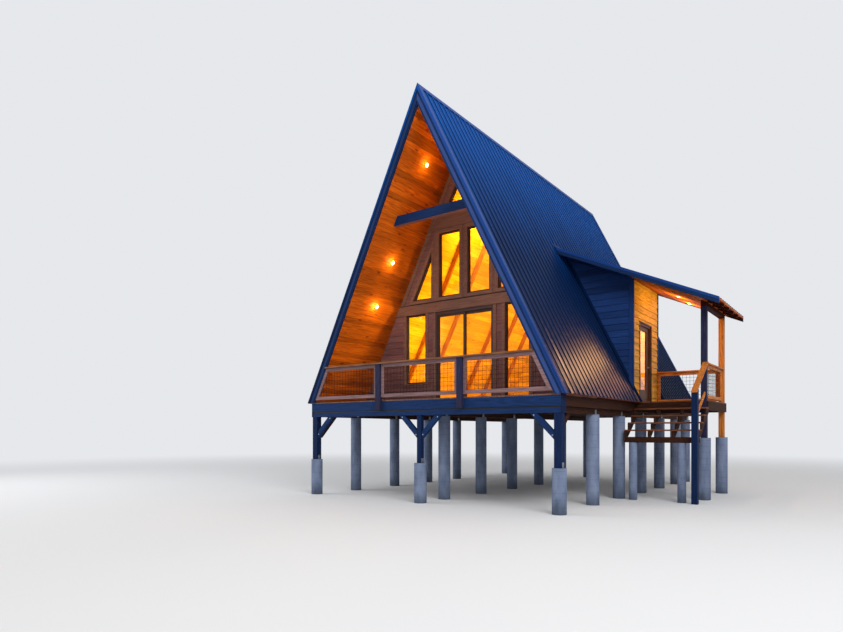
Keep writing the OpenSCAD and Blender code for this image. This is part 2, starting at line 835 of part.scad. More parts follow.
module slider_leaf() {
  color(slate) along_y(moving_y, moving_y + leaf_thk) ring(moving_leaf(), leaf_bar);
}

module slider_pane() {
  y = moving_y + (leaf_thk - pane_thk) / 2;
  color(glass) along_y(y, y + pane_thk) polygon(inset(moving_leaf(), leaf_bar));
}

module slider_handle() {
  x = slider_in - leaf_gap - leaf_bar / 2;
  end = pull_l / 10;
  color(steel) for (side = [0, 1]) {
    y = side == 0 ? moving_y : moving_y + leaf_thk;
    sign = side == 0 ? -1 : 1;
    for (z = [pull_z + end, pull_z + pull_l - end])
      translate([x, y, z]) rotate([sign * -90, 0, 0]) cylinder(d = pull_d - 2, h = 22, $fn = 32);
    translate([x, y + sign * 28, pull_z]) cylinder(d = pull_d, h = pull_l, $fn = 32);
  }
}

// Dormer walls
module flank_outline() {
  polygon([[room_half(0), 0], [entry_x, 0], [entry_x, shed_z(entry_x, dormer_thk + seat)],
    shed_meet(dormer_thk + seat, lining_bottom + seat)]);
}

module dormer_flank_front() {
  color(slate) along_y(dormer_y0, dormer_y0 + wall_thk) flank_outline();
}

module dormer_flank_back() {
  color(slate) along_y(dormer_y1 - wall_thk, dormer_y1) flank_outline();
}

module entry_wall_outline(z0) {
  polygon([[entry_in_x, z0], [entry_x, z0], [entry_x, shed_z(entry_x, dormer_thk + seat)],
    [entry_in_x, shed_z(entry_in_x, dormer_thk + seat)]]);
}

module entry_wall_front() {
  color(umber) along_y(dormer_y0 + wall_thk, door_y0) entry_wall_outline(0);
}

module entry_wall_back() {
  color(umber) along_y(door_y1, dormer_y1 - wall_thk) entry_wall_outline(0);
}

module entry_wall_head() {
  color(umber) along_y(door_y0, door_y1) entry_wall_outline(doorway_h);
}

// Entry door and its frame
module door_frame_ring(extra) {
  difference() {
    polygon(box_points(door_y0, 0, door_y1, doorway_h));
    polygon(box_points(door_y0 + door_jamb + extra, threshold_h, door_y1 - door_jamb - extra,
      doorway_h - door_jamb - extra));
  }
}

module entry_frame() {
  stop_x = door_x0 + door_thk + door_gap;
  color(umber) {
    along_x(entry_in_x, stop_x) door_frame_ring(0);
    along_x(stop_x, entry_x) door_frame_ring(door_stop);
    for (z = hinge_zs) {
      translate([hinge_x, hinge_y, z - hinge_h / 2 - 6]) cylinder(r = hinge_pin_r, h = hinge_h + 12, $fn = 32);
      for (end = [z - hinge_h / 2 - 12, z + hinge_h / 2 + 6]) {
        translate([hinge_x, hinge_y, end]) cylinder(r = hinge_r, h = 6, $fn = 32);
        box(hinge_x, door_y0 + 8, end, entry_in_x, hinge_y, end + 6);
      }
    }
  }
}

module entry_door() {
  glass_in = (door_leaf_y1 - door_leaf_y0 - door_glass_w) / 2;
  color(umber) {
    along_x(door_x0, door_x0 + door_thk) difference() {
      polygon(box_points(door_leaf_y0, door_z0, door_leaf_y1, door_z1));
      polygon(box_points(door_leaf_y0 + glass_in, door_z0 + door_bottom_rail,
        door_leaf_y1 - glass_in, door_z1 - door_top_rail));
    }
    for (z = hinge_zs) {
      half = (hinge_h - 2) / 2;
      difference() {
        union() {
          translate([hinge_x, hinge_y, z - half]) cylinder(r = hinge_r, h = 2 * half, $fn = 32);
          box(hinge_x + 5, hinge_y, z - half, door_x0, hinge_y + 30, z + half);
        }
        translate([hinge_x, hinge_y, z - half - 1])
          cylinder(r = hinge_pin_r + hinge_gap, h = 2 * half + 2, $fn = 32);
      }
    }
  }
}

module entry_pane() {
  glass_in = (door_leaf_y1 - door_leaf_y0 - door_glass_w) / 2;
  x = door_x0 + (door_thk - pane_thk) / 2;
  color(glass) box(x, door_leaf_y0 + glass_in, door_z0 + door_bottom_rail,
    x + pane_thk, door_leaf_y1 - glass_in, door_z1 - door_top_rail);
}

module entry_handle() {
  y = door_leaf_y1 - door_handle_inset;
  z = threshold_h + door_handle_h;
  neck_d = lever_d + 6;
  color(steel) for (side = [0, 1]) {
    x = side == 0 ? door_x0 : door_x0 + door_thk;
    sign = side == 0 ? -1 : 1;
    translate([x, y, z]) rotate([0, sign * 90, 0]) cylinder(d = rose_d, h = rose_thk, $fn = 32);
    translate([x + sign * (rose_thk - 1), y, z]) rotate([0, sign * 90, 0])
      cylinder(d = neck_d, h = lever_reach + neck_d / 2 - rose_thk + 1, $fn = 32);
    translate([x + sign * lever_reach, y, z]) rotate([90, 0, 0]) cylinder(d = lever_d, h = lever_l, $fn = 32);
  }
}

// Dormer roof
module dormer_roof() {
  board_bottom = sheet_h + dormer_board_thk;
  color(pine) along_y(dormer_roof_y0 + dormer_rake_thk, dormer_roof_y1 - dormer_rake_thk)
    polygon([shed_meet(sheet_h, roof_face), shed_meet(dormer_thk, roof_face),
      [porch_post_x, shed_z(porch_post_x, dormer_thk)], [porch_post_x, shed_z(porch_post_x, board_bottom)],
      [dormer_eave_x, shed_z(dormer_eave_x, board_bottom)], [dormer_eave_x, shed_z(dormer_eave_x, sheet_h)]]);
}

module dormer_roofing() {
  outer = -loose;
  inner = sheet_h + loose;
  color(navy) intersection() {
    along_y(dormer_roof_y0, dormer_roof_y1)
      polygon([shed_meet(outer, roof_face), shed_meet(inner, roof_face),
        [dormer_eave_x, shed_z(dormer_eave_x, inner)], [dormer_eave_x, shed_z(dormer_eave_x, outer)]]);
    ribbed_sheet(dormer_eave_x, shed_z(dormer_eave_x, seat), dormer_pitch, dormer_roof_y0, dormer_roof_y1);
  }
}

module rafter_tails() {
  board_bottom = sheet_h + dormer_board_thk;
  first = dormer_roof_y0 + dormer_rake_thk;
  pitch = (dormer_roof_y1 - dormer_rake_thk - rim_thk - first) / (tail_count - 1);
  tip = dormer_eave_x - 20;
  color(pine) for (i = [0 : tail_count - 1])
    along_y(first + i * pitch, first + i * pitch + rim_thk)
      polygon([[porch_post_x, shed_z(porch_post_x, board_bottom)], [porch_post_x, shed_z(porch_post_x, dormer_thk)],
        [tip, shed_z(tip, dormer_thk)], [tip, shed_z(tip, board_bottom)]]);
}

// Porch
module post_notches() {
  for (y = [dormer_y0, dormer_y1 - porch_post_w])
    translate([porch_post_x0, y]) square(porch_post_w);
}

module porch_deck() {
  color(pine) translate([0, 0, -board_thk]) linear_extrude(board_thk) difference() {
    translate([platform_half_w, dormer_y0]) square([porch_x - platform_half_w, dormer_y1 - dormer_y0]);
    post_notches();
  }
}

module porch_frame() {
  color(deck_brown) {
    box(platform_half_w, dormer_y0, rim_z, porch_post_x0, dormer_y0 + rim_thk, -board_thk);
    box(platform_half_w, dormer_y1 - rim_thk, rim_z, porch_post_x0, dormer_y1, -board_thk);
    box(porch_post_x, dormer_y0, rim_z, porch_x, dormer_y1, -board_thk);
  }
}

module porch_joists() {
  bays = 4;
  color(deck_brown) for (i = [1 : bays - 1]) {
    y = dormer_y0 + i * (dormer_y1 - dormer_y0) / bays;
    box(platform_half_w, y - rim_thk / 2, rim_z, porch_post_x, y + rim_thk / 2, -board_thk);
  }
}

module porch_posts() {
  color(navy) for (y = [dormer_y0, dormer_y1 - porch_post_w])
    box(porch_post_x0, y, -porch_pier_drop, porch_post_x, y + porch_post_w, porch_beam_z);
}

module porch_beams() {
  color(deck_brown) along_y(dormer_y0, dormer_y1)
    polygon([[porch_post_x0, porch_beam_z], [porch_post_x, porch_beam_z],
      [porch_post_x, shed_z(porch_post_x, dormer_thk + seat)],
      [porch_post_x0, shed_z(porch_post_x0, dormer_thk + seat)]]);
}

module porch_rail_back() {
  under = porch_rail_h - rail_thk;
  start = entry_x + casing_thk;
  color(pine) {
    box(start, dormer_y1 - porch_post_w, under, porch_post_x0, dormer_y1, porch_rail_h);
    mesh_panel_along_x(box_points(start, porch_panel_gap, porch_post_x0, under),
      dormer_y1 - (porch_post_w + panel_thk) / 2);
  }
}

module porch_rail_side() {
  under = porch_rail_h - rail_thk;
  y0 = dormer_y0 + porch_post_w;
  y1 = dormer_y1 - porch_post_w;
  color(pine) {
    box(porch_post_x0, y0, under, porch_post_x, y1, porch_rail_h);
    mesh_panel_along_y(box_points(y0, porch_panel_gap, y1, under),
      porch_post_x - (porch_post_w + panel_thk) / 2);
  }
}

// Stair
module stair_treads() {
  color(pine) for (i = [1 : tread_count])
    box(stair_x0, dormer_y0 - i * step_run, -i * step_rise - tread_thk,
      stair_x1, dormer_y0 - (i - 1) * step_run, -i * step_rise);
}

module stringer_outline() {
  teeth = [for (i = [1 : tread_count], end = [i - 1, i])
    [dormer_y0 - end * step_run, -i * step_rise - tread_thk]];
  heel = 190;
  fall = (tread_count * step_run - heel) * step_rise / step_run;
  polygon(concat(teeth, [[stair_y, ground_step_z], [stair_y + heel, ground_step_z],
    [dormer_y0, ground_step_z + fall]]));
}

module stair_stringers() {
  pitch = (stair_x1 - stair_x0 - stringer_thk) / (stringer_count - 1);
  color(deck_brown) {
    for (i = [0 : stringer_count - 1])
      along_x(stair_x0 + i * pitch, stair_x0 + i * pitch + stringer_thk) stringer_outline();
    box(stair_x0, stair_y, ground_step_z - beam_h, stair_x1, stair_y + beam_w, ground_step_z);
  }
}

module stair_rail() {
  newel_y = stair_y - newel_w;
  low_z = newel_h - tread_count * step_rise;
  fall = (porch_rail_h - low_z) / (dormer_y0 - newel_y);
  drop = lower_rail_drop;
  lip = rail_thk / 2;
  function cap_z(y) = porch_rail_h - (dormer_y0 - y) * fall;
  x0 = stair_x1 - newel_w;
  middle = (x0 + porch_post_x) / 2;
  color(pine) {
    along_x(x0, stair_x1)
      polygon([[newel_y - lip, cap_z(newel_y - lip)], [newel_y - lip, cap_z(newel_y - lip) - rail_thk],
        [dormer_y0, cap_z(dormer_y0) - rail_thk], [dormer_y0, cap_z(dormer_y0)]]);
    along_x(x0, stair_x1)
      polygon([[newel_y, -deck_h], [stair_y, -deck_h], [stair_y, cap_z(stair_y) - rail_thk],
        [newel_y, cap_z(newel_y) - rail_thk]]);
    along_x(middle - panel_thk / 2, middle + panel_thk / 2)
      polygon([[stair_y, cap_z(stair_y) - drop], [stair_y, cap_z(stair_y) - drop - lower_rail_h],
        [dormer_y0, cap_z(dormer_y0) - drop - lower_rail_h], [dormer_y0, cap_z(dormer_y0) - drop]]);
  }
}

place() roof_left();
place() roof_right_front();
place() roof_right_upper();
place() roof_right_back();
place() roofing();
place() roof_flashing();
place() roof_lining();
place() rake_boards();
place() inner_rafters();
place() collar_beam();
place() house_floor();
place() deck_boards();
place() deck_joists();
place() rim_boards();
place() beams();
place() piers();
place() front_posts();
place() knee_braces();
place() front_rail();
place() rail_panel_left();
place() rail_panel_middle();
place() rail_panel_right();
place() front_wall_left();
place() front_wall_right();
place() front_wall_upper();
place() back_wall();
place() trim_boards();
place() window_frames();
place() window_panes();
place() slider_frame();
place() slider_leaf();
place() slider_pane();
place() slider_handle();
place() dormer_flank_front();
place() dormer_flank_back();
place() entry_wall_front();
place() entry_wall_back();
place() entry_wall_head();
place() entry_frame();
place() entry_door();
place() entry_pane();
place() entry_handle();
place() dormer_roof();
place() dormer_roofing();
place() rafter_tails();
place() porch_deck();
place() porch_frame();
place() porch_joists();
place() porch_posts();
place() porch_beams();
place() porch_rail_back();
place() porch_rail_side();
place() stair_treads();
place() stair_stringers();
place() stair_rail();
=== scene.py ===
"""Looks of the a-frame cabin: its boards, ribbed steel, glass and fittings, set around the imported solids."""

import logging
import random
from dataclasses import dataclass, field
from enum import Enum
from functools import partial
from math import atan2, ceil, cos, pi, radians, sin, tan
from typing import Any, Callable, Iterable, Sequence

import bmesh
import bpy
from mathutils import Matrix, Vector


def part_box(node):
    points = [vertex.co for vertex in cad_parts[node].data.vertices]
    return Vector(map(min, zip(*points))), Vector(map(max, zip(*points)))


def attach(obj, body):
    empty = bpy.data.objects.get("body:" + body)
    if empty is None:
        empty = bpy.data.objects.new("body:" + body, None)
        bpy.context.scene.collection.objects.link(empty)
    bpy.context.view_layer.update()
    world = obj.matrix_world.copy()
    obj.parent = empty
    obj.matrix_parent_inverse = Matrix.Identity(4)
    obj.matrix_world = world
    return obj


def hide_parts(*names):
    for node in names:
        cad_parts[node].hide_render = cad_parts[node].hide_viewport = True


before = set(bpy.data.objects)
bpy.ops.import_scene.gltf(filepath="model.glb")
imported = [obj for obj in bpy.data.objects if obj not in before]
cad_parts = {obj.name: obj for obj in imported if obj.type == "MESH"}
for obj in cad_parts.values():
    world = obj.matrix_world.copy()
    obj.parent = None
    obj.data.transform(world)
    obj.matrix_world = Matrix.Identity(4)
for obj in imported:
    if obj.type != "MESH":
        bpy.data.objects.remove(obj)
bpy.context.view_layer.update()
LOG = logging.getLogger("cabin")

Node, Material = bpy.types.Node, bpy.types.Material
Flat = tuple[float, float]
Triple = tuple[float, float, float]
Corners = tuple[float, float, float, float]
Outline = Sequence[Flat]
Place = Callable[[float, float, float], Vector]
Rule = Callable[[Vector, Vector], int]

X, Y, Z = map(Vector, ((1, 0, 0), (0, 1, 0), (0, 0, 1)))

# Half width of the platform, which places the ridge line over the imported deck
PLATFORM_HALF = 3.66
DECK_LOW, DECK_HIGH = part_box("deck_boards")
# Where the ridge line, the deck's front and the deck's top meet, in the row frame
ORIGIN = Vector((DECK_LOW[0] + PLATFORM_HALF, DECK_LOW[1], DECK_HIGH[2]))
# The front faces of the front and back walls, behind the deck's front
WALL_Y, BACK_Y = 2.018, 10.8
SLOPE = atan2(7.58, 3.786)
SHED_PITCH = radians(24.5)


class Body(Enum):
    """The bodies that pieces ride on."""

    CABIN = "cabin"
    SLIDING_LEAF = "sliding_leaf"
    ENTRY_LEAF = "entry_leaf"


class Grain(Enum):
    """Direction in which the grain, or the run of rain, lies: a turn of the pattern about each axis."""

    X = (0.0, 0.0, 0.0)
    Y = (0.0, 0.0, pi / 2)
    Z = (0.0, -pi / 2, 0.0)
    RIGHT = (0.0, SLOPE, 0.0)
    LEFT = (0.0, -SLOPE, 0.0)
    SHED = (0.0, SHED_PITCH, 0.0)


def linear(code: str) -> tuple[float, float, float, float]:
    """Turns an sRGB hex colour to linear values.

    Args:
        code: six hex digits after a hash sign.

    Returns:
        Red, green and blue in linear light, and an alpha of one.
    """
    parts = [int(code[i:i + 2], 16) / 255 for i in (1, 3, 5)]
    red, green, blue = (p / 12.92 if p <= 0.04045 else ((p + 0.055) / 1.055) ** 2.4 for p in parts)
    return red, green, blue, 1.0


def add_node(tree: bpy.types.NodeTree, kind: str, inputs: dict | Sequence = (), **settings: Any) -> Node:
    """Adds a shader node with its settings and its links.

    Args:
        tree: node tree that takes the node.
        kind: the node's type, with its operation after a dot where it has one.
        inputs: what each input gets, in order, or by name or number: a value, a node whose first output
            feeds it, or a pair of a node and an output.
        settings: the node's own properties; "stops" fills a ramp.

    Returns:
        The new node.
    """
    kind, _, operation = kind.partition(".")
    node = tree.nodes.new(f"ShaderNode{kind}")
    if operation:
        node.operation = operation
    stops = settings.pop("stops", ())
    for key, value in settings.items():
        setattr(node, key, value)
    while stops and len(node.color_ramp.elements) < len(stops):
        node.color_ramp.elements.new(0.5)
    for i, (position, colour) in enumerate(stops):
        node.color_ramp.elements[i].position = position
        node.color_ramp.elements[i].color = linear(colour) if isinstance(colour, str) else colour
    for key, value in inputs.items() if isinstance(inputs, dict) else enumerate(inputs):
        giver, output = value if isinstance(value, tuple) and isinstance(value[0], Node) else (value, 0)
        if isinstance(giver, Node):
            tree.links.new(giver.outputs[output], node.inputs[key])
        else:
            node.inputs[key].default_value = giver
    return node


def grain_noise(add: Callable, source: Any, grain: Grain, size: Flat, detail: float,
                rough: float = 0.5) -> Node:
    """Noise stretched along the grain.

    Args:
        add: adds a node to the material.
        source: node or pair that gives the coordinates.
        grain: direction of the stretch.
        size: size of the pattern along and across the grain, in metres.
        detail: number of finer layers.
        rough: strength of the finer layers.

    Returns:
        The noise node.
    """
    turned = add("Mapping", {"Vector": source, "Rotation": grain.value, "Scale": (size[0], size[1], size[1])},
                 vector_type="TEXTURE")
    return add("TexNoise", {"Vector": turned, "Scale": 1.0, "Detail": detail, "Roughness": rough})


@dataclass(frozen=True)
class Finish:
    """A surface, which becomes one material for each direction of its pattern."""

    name: str

    def shader(self, add: Callable, place: Any, grain: Grain) -> Node:
        """Adds the surface's nodes, and gives their shader."""
        raise NotImplementedError

    def __call__(self, grain: Grain = Grain.Z) -> Material:
        """Makes the material once for each direction.

        Args:
            grain: direction of the pattern.

        Returns:
            The material.
        """
        name = f"{self.name}_{grain.name.lower()}"
        if name not in bpy.data.materials:
            material = bpy.data.materials.new(name)
            material.use_nodes = True
            material.node_tree.nodes.clear()
            add = partial(add_node, material.node_tree)
            add("OutputMaterial", [self.shader(add, (add("TexCoord"), "Object"), grain)])
        return bpy.data.materials[name]


@dataclass(frozen=True)
class Timber(Finish):
    """Sawn softwood boards, planed and then brushed with stain or oil.

    The eye sees long fibres, the rings of the cut, a few knots, and boards that differ in tone.
    """

    pale: str
    deep: str
    knot: str
    roughness: float = 0.6
    figure: float = 0.3
    knots: float = 0.5
    coat: float = 0.0
    spread: float = 0.5
    board: float = 0.0
    fibre_gain: float = 0.5
    shine: float = 0.35

    def shader(self, add: Callable, place: Any, grain: Grain) -> Node:
        """Wood, with a chance tone for each board.

        Args:
            add: adds a node to the material.
            place: node and output that give a point's place.
            grain: direction in which the boards run.

        Returns:
            The shader.
        """
        tone = (add("Attribute", attribute_name="tone"), "Fac")
        away = add("VectorMath.SCALE", {0: (31.0, 17.0, 23.0), "Scale": tone})
        source = add("VectorMath.ADD", [place, away])
        # Fibres are a millimetre wide, and are drawn 18 mm wide and 0.8 m long so that they show
        fibre = grain_noise(add, source, grain, (0.8, 0.018), 6.0, 0.66)
        fine = grain_noise(add, source, grain, (0.12, 0.0025), 3.0, 0.6)
        # Rings of the cut lie 8 to 30 mm apart across a board
        cut = grain_noise(add, source, grain, (1.5, 0.11), 1.6, 0.45)
        wave = add("Math.SINE", [add("Math.MULTIPLY", [cut, 46.0])])
        rings = add("Math.MULTIPLY", [wave, self.figure])
        body = add("Math.MULTIPLY_ADD", [fibre, self.fibre_gain * 2.6, 0.5 - self.fibre_gain * 1.3])
        pores = add("Math.MULTIPLY_ADD", [fine, 0.35, -0.17])
        mixed = add("Math.ADD", [add("Math.ADD", [body, pores]), rings])
        colour = add("ValToRGB", [mixed], stops=((0.1, self.deep), (0.9, self.pale)))
        # Knots are 20 to 60 mm across, one to about 0.6 m of board
        spots = add("Mapping", {"Vector": source, "Rotation": grain.value, "Scale": (0.5, 0.17, 0.17)},
                    vector_type="TEXTURE")
        cell = add("TexVoronoi", {"Vector": spots, "Scale": 1.0})
        knot = add("MapRange", [cell, 0.06, 0.2, self.knots, 0.0])
        marked = add("Mix", {0: knot, 6: colour, 7: linear(self.knot)}, data_type="RGBA")
        value, height = add("Math.MULTIPLY_ADD", [tone, self.spread, 1.0]), fibre
        if self.board:
            flat = add("Mapping", {"Vector": place, "Rotation": grain.value,
                                   "Scale": (1.0, self.board, self.board)}, vector_type="TEXTURE")
            axes = add("SeparateXYZ", [flat])
            across = add("Math.ADD", [(axes, "Y"), (axes, "Z")])
            chance = add("TexWhiteNoise", {"W": add("Math.FLOOR", [across])}, noise_dimensions="1D")
            side = add("Math.PINGPONG", [add("Math.FRACT", [across]), 0.5])
            joint = add("MapRange", [side, 0.0, 0.035])
            shade = add("MapRange", [chance, 0.0, 1.0, 1.0 - self.spread / 2, 1.0 + self.spread / 2])
            value = add("Math.MULTIPLY", [shade, add("Math.MULTIPLY_ADD", [joint, 0.55, 0.45])])
            height = add("Math.MULTIPLY_ADD", [joint, 2.0, fibre])
        toned = add("HueSaturation", {"Color": (marked, 2), "Value": value})
        rough = add("MapRange", [fibre, 0.0, 1.0, self.roughness - 0.1, self.roughness + 0.14])
        bump = add("Bump", {"Strength": 0.35, "Distance": 0.003, "Height": height})
        return add("BsdfPrincipled", {"Base Color": toned, "Roughness": rough, "Normal": bump, "IOR": 1.45,
                                      "Specular IOR Level": self.shine, "Coat Weight": self.coat,
                                      "Coat Roughness": 0.35})


@dataclass(frozen=True)
class Stained(Timber):
    """Sawn spruce or cedar under a matt stain, which hides most of its figure."""

    figure: float = 0.16
    knots: float = 0.35
    spread: float = 0.3
    shine: float = 0.1


@dataclass(frozen=True)
class OiledPine(Timber):
    """Knotty pine under oil, which deepens its figure and gives it a low sheen."""

    roughness: float = 0.55
    spread: float = 0.4
    shine: float = 0.25


@dataclass(frozen=True)
class CoatedSteel(Finish):
    """Roll-formed steel sheet with a baked satin paint.

    The eye sees an even sheen, slight waves of the flat pans, run marks of rain, and a painted reflection of
    the sky.
    """

    # Painted reflection of the sky: colours near the ridge, halfway up and at the eaves, bright blue near the
    # ridge
    high: str = "#054894"
    middle: str = "#04204a"
    low: str = "#11203f"
    roughness: float = 0.42
    shine: float = 0.03
    rib_at: float | None = None
    rib_pitch: float = 0.24

    def shader(self, add: Callable, place: Any, grain: Grain) -> Node:
        """Painted sheet, which rain runs down.

        Args:
            add: adds a node to the material.
            place: node and output that give a point's place.
            grain: direction in which rain runs.

        Returns:
            The shader.
        """
        axes = add("SeparateXYZ", [place])
        # Painted reflection of the sky: the colour passes from the low one to the high one between heights of
        # 2.4 m and 9.6 m
        rise = add("MapRange", [(axes, "Z"), 2.4, 9.6])
        # Run marks are 30 to 60 mm wide and some metres long
        runs = grain_noise(add, place, grain, (2.6, 0.05), 4.0, 0.6)
        cloud = grain_noise(add, place, grain, (1.8, 0.9), 3.0)
        blend = add("Math.MULTIPLY_ADD", [runs, 0.2, rise])
        both = add("Math.ADD", [blend, add("Math.MULTIPLY_ADD", [cloud, 0.2, -0.2])])
        colour = add("ValToRGB", [both], stops=((0.05, self.low), (0.5, self.middle), (0.95, self.high)))
        if self.rib_at is not None:
            # Painted highlight along the crests of the ribs, and painted shade along their feet, which are 31
            # mm from a rib's middle
            half = self.rib_pitch / 2
            near = add("Math.PINGPONG", [add("Math.SUBTRACT", [(axes, "Y"), self.rib_at]), half])
            rib_highlight_and_shade = ((0.0, 1.7), (0.12, 1.5), (0.2, 0.42), (0.3, 0.42), (0.42, 1.0))
            marks = add("ValToRGB", [add("Math.DIVIDE", [near, half])],
                        stops=[(at, (v, v, v, 1.0)) for at, v in rib_highlight_and_shade])
            colour = (add("Mix", {0: 1.0, 6: colour, 7: marks}, data_type="RGBA", blend_type="MULTIPLY"), 2)
        rough = add("MapRange", [runs, 0.0, 1.0, self.roughness - 0.1, self.roughness + 0.12])
        # Waves of the pans are about 0.5 m long and under a millimetre deep
        waves = grain_noise(add, place, grain, (0.5, 0.16), 1.0)
        bump = add("Bump", {"Strength": 0.25, "Distance": 0.006, "Height": waves})
        return add("BsdfPrincipled", {"Base Color": colour, "Roughness": rough, "Normal": bump, "IOR": 1.5,
                                      "Specular IOR Level": self.shine})


@dataclass(frozen=True)
class CastConcrete(Finish):
    """Concrete cast in round paper tubes.

    The eye sees a matt grey with clouds, small air holes, faint rings of the tube, and damp at the ground.
    """

    pale: str = "#8592ae"
    deep: str = "#515f7a"
    damp: str = "#3f4957"

    def shader(self, add: Callable, place: Any, grain: Grain) -> Node:
        """Concrete, cast upright.

        Args:
            add: adds a node to the material.
            place: node and output that give a point's place.
            grain: direction in which it was cast.

        Returns:
            The shader.
        """
        height = (add("SeparateXYZ", [place]), "Z")
        cloud = grain_noise(add, place, grain, (0.5, 0.2), 5.0)
        grit = grain_noise(add, place, grain, (0.012, 0.012), 2.0)
        # The tube's seam climbs 0.15 m in a turn, and shows as rings that far apart
        seam = add("MapRange", [add("Math.PINGPONG", [height, 0.075]), 0.0, 0.005, 0.25, 0.0])
        worn = add("Math.SUBTRACT", [add("Math.MULTIPLY_ADD", [grit, 0.35, cloud]), seam])
        colour = add("ValToRGB", [worn], stops=((0.35, self.deep), (0.9, self.pale)))
        foot = add("Math.MULTIPLY_ADD", [cloud, 0.3, height])
        wet = add("MapRange", [foot, 0.12, 0.5, 0.75, 0.0])
        final = add("Mix", {0: wet, 6: colour, 7: linear(self.damp)}, data_type="RGBA")
        # Air holes are 3 to 8 mm wide, drawn 10 mm wide
        pit = add("MapRange", [add("TexVoronoi", {"Vector": place, "Scale": 22.0}), 0.1, 0.22])
        relief = add("Math.MULTIPLY_ADD", [pit, 0.5, worn])
        bump = add("Bump", {"Strength": 0.5, "Distance": 0.004, "Height": relief})
        return add("BsdfPrincipled", {"Base Color": (final, 2), "Roughness": 0.88, "IOR": 1.45,
                                      "Specular IOR Level": 0.3, "Normal": bump})


@dataclass(frozen=True)
class Metal(Finish):
    """Bare or plated steel, brushed or dipped.

    The eye sees a grey sheen with fine lines or with a soft spangle.
    """

    colour: str
    roughness: float = 0.35
    size: Flat = (0.06, 0.0015)

    def shader(self, add: Callable, place: Any, grain: Grain) -> Node:
        """Metal with its lines along the grain.

        Args:
            add: adds a node to the material.
            place: node and output that give a point's place.
            grain: direction of the fine lines.

        Returns:
            The shader.
        """
        lines = grain_noise(add, place, grain, self.size, 3.0)
        rough = add("MapRange", [lines, 0.0, 1.0, self.roughness - 0.12, self.roughness + 0.15])
        base = linear(self.colour)
        dull = tuple(0.7 * c for c in base[:3]) + (1.0,)
        colour = add("ValToRGB", [lines], stops=((0.3, dull), (0.7, base)))
        bump = add("Bump", {"Strength": 0.1, "Distance": 0.0005, "Height": lines})
        return add("BsdfPrincipled", {"Base Color": colour, "Metallic": 1.0, "Roughness": rough,
                                      "Normal": bump})


@dataclass(frozen=True)
class FloatGlass(Finish):
    """Float glass in double panes, clear and flat.

    The eye sees the room through it, and a faint picture of the sky on it.
    """

    tint: str = "#fff6e6"
    coat: str = "#646464"

    def shader(self, add: Callable, place: Any, grain: Grain) -> Node:
        """Glass that lets light through to the room without bending its shadow.

        Args:
            add: adds a node to the material.
            place: node and output that give a point's place.
            grain: not needed, as it looks the same all ways.

        Returns:
            The shader.
        """
        # Rollers leave waves about 0.3 m long, a few hundredths of a millimetre deep
        wave = add("TexNoise", {"Vector": place, "Scale": 3.0, "Detail": 1.0})
        bump = add("Bump", {"Strength": 0.02, "Distance": 0.002, "Height": wave})
        # A coat against glare leaves an eighth of the reflection
        pane = add("BsdfPrincipled", {"Base Color": linear(self.tint), "Transmission Weight": 1.0,
                                      "Roughness": 0.0, "IOR": 1.5, "Specular Tint": linear(self.coat),
                                      "Normal": bump})
        clear = add("BsdfTransparent", {"Color": linear(self.tint)})
        path = add("LightPath")
        either = add("Math.MAXIMUM", [(path, "Is Shadow Ray"), (path, "Is Diffuse Ray")])
        return add("MixShader", [either, pane, clear])


@dataclass(frozen=True)
class Plastic(Finish):
    """Moulded rubber, vinyl or powder-coated metal, even in colour with a fine grain.

    The eye sees a soft sheen with a faint orange-peel.
    """

    colour: str
    roughness: float = 0.5
    glow: float = 0.0

    def shader(self, add: Callable, place: Any, grain: Grain) -> Node:
        """Plastic, which may glow.

        Args:
            add: adds a node to the material.
            place: node and output that give a point's place.
            grain: not needed, as it looks the same all ways.

        Returns:
            The shader.
        """
        peel = add("TexNoise", {"Vector": place, "Scale": 400.0, "Detail": 2.0})
        bump = add("Bump", {"Strength": 0.12, "Distance": 0.0004, "Height": peel})
        rough = add("MapRange", [peel, 0.0, 1.0, self.roughness - 0.06, self.roughness + 0.06])
        colour = linear(self.colour)
        return add("BsdfPrincipled", {"Base Color": colour, "Emission Color": colour,
                                      "Emission Strength": self.glow, "IOR": 1.5,
                                      "Specular IOR Level": 0.35, "Roughness": rough, "Normal": bump})


def shown(add: Callable) -> Node:
    """One where a thing is seen directly, in gloss or through glass, and zero where it only gives light.

    Args:
        add: adds a node to the material or to the world.

    Returns:
        The node that says so.
    """
    path = add("LightPath")
    seen = add("Math.MAXIMUM", [(path, "Is Camera Ray"), (path, "Is Glossy Ray")])
    return add("Math.MAXIMUM", [seen, (path, "Is Transmission Ray")])


# Pale ground behind the studio, as camera, gloss and glass see it
PALE = "#e6e8ec"


@dataclass(frozen=True)
class StudioPaper(Finish):
    """Matt paper laid as a floor.

    The eye sees an even pale ground without an edge.
    """

    colour: str = "#eeeff1"

    def shader(self, add: Callable, place: Any, grain: Grain) -> Node:
        """Paper that passes into the ground behind it from 10 m to 36 m away.

        Args:
            add: adds a node to the material.
            place: node and output that give a point's place.
            grain: not needed, as it looks the same all ways.

        Returns:
            The shader.
        """
        soft = add("TexNoise", {"Vector": place, "Scale": 0.4, "Detail": 2.0})
        rough = add("MapRange", [soft, 0.0, 1.0, 0.85, 0.95])
        near = add("BsdfPrincipled", {"Base Color": linear(self.colour), "Specular IOR Level": 0.1,
                                      "Roughness": rough})
        away = (add("VectorMath.LENGTH", [place]), "Value")
        far = add("MapRange", [away, 10.0, 36.0], interpolation_type="SMOOTHSTEP")
        share = add("Math.MULTIPLY", [far, shown(add)])
        return add("MixShader", [share, near, add("Emission", [linear(PALE), 1.0])])


# Blue stain on sawn spruce: rake boards, rims and beams
NAVY = Stained("navy_stain", "#1c3868", "#10264c", "#0a1834")
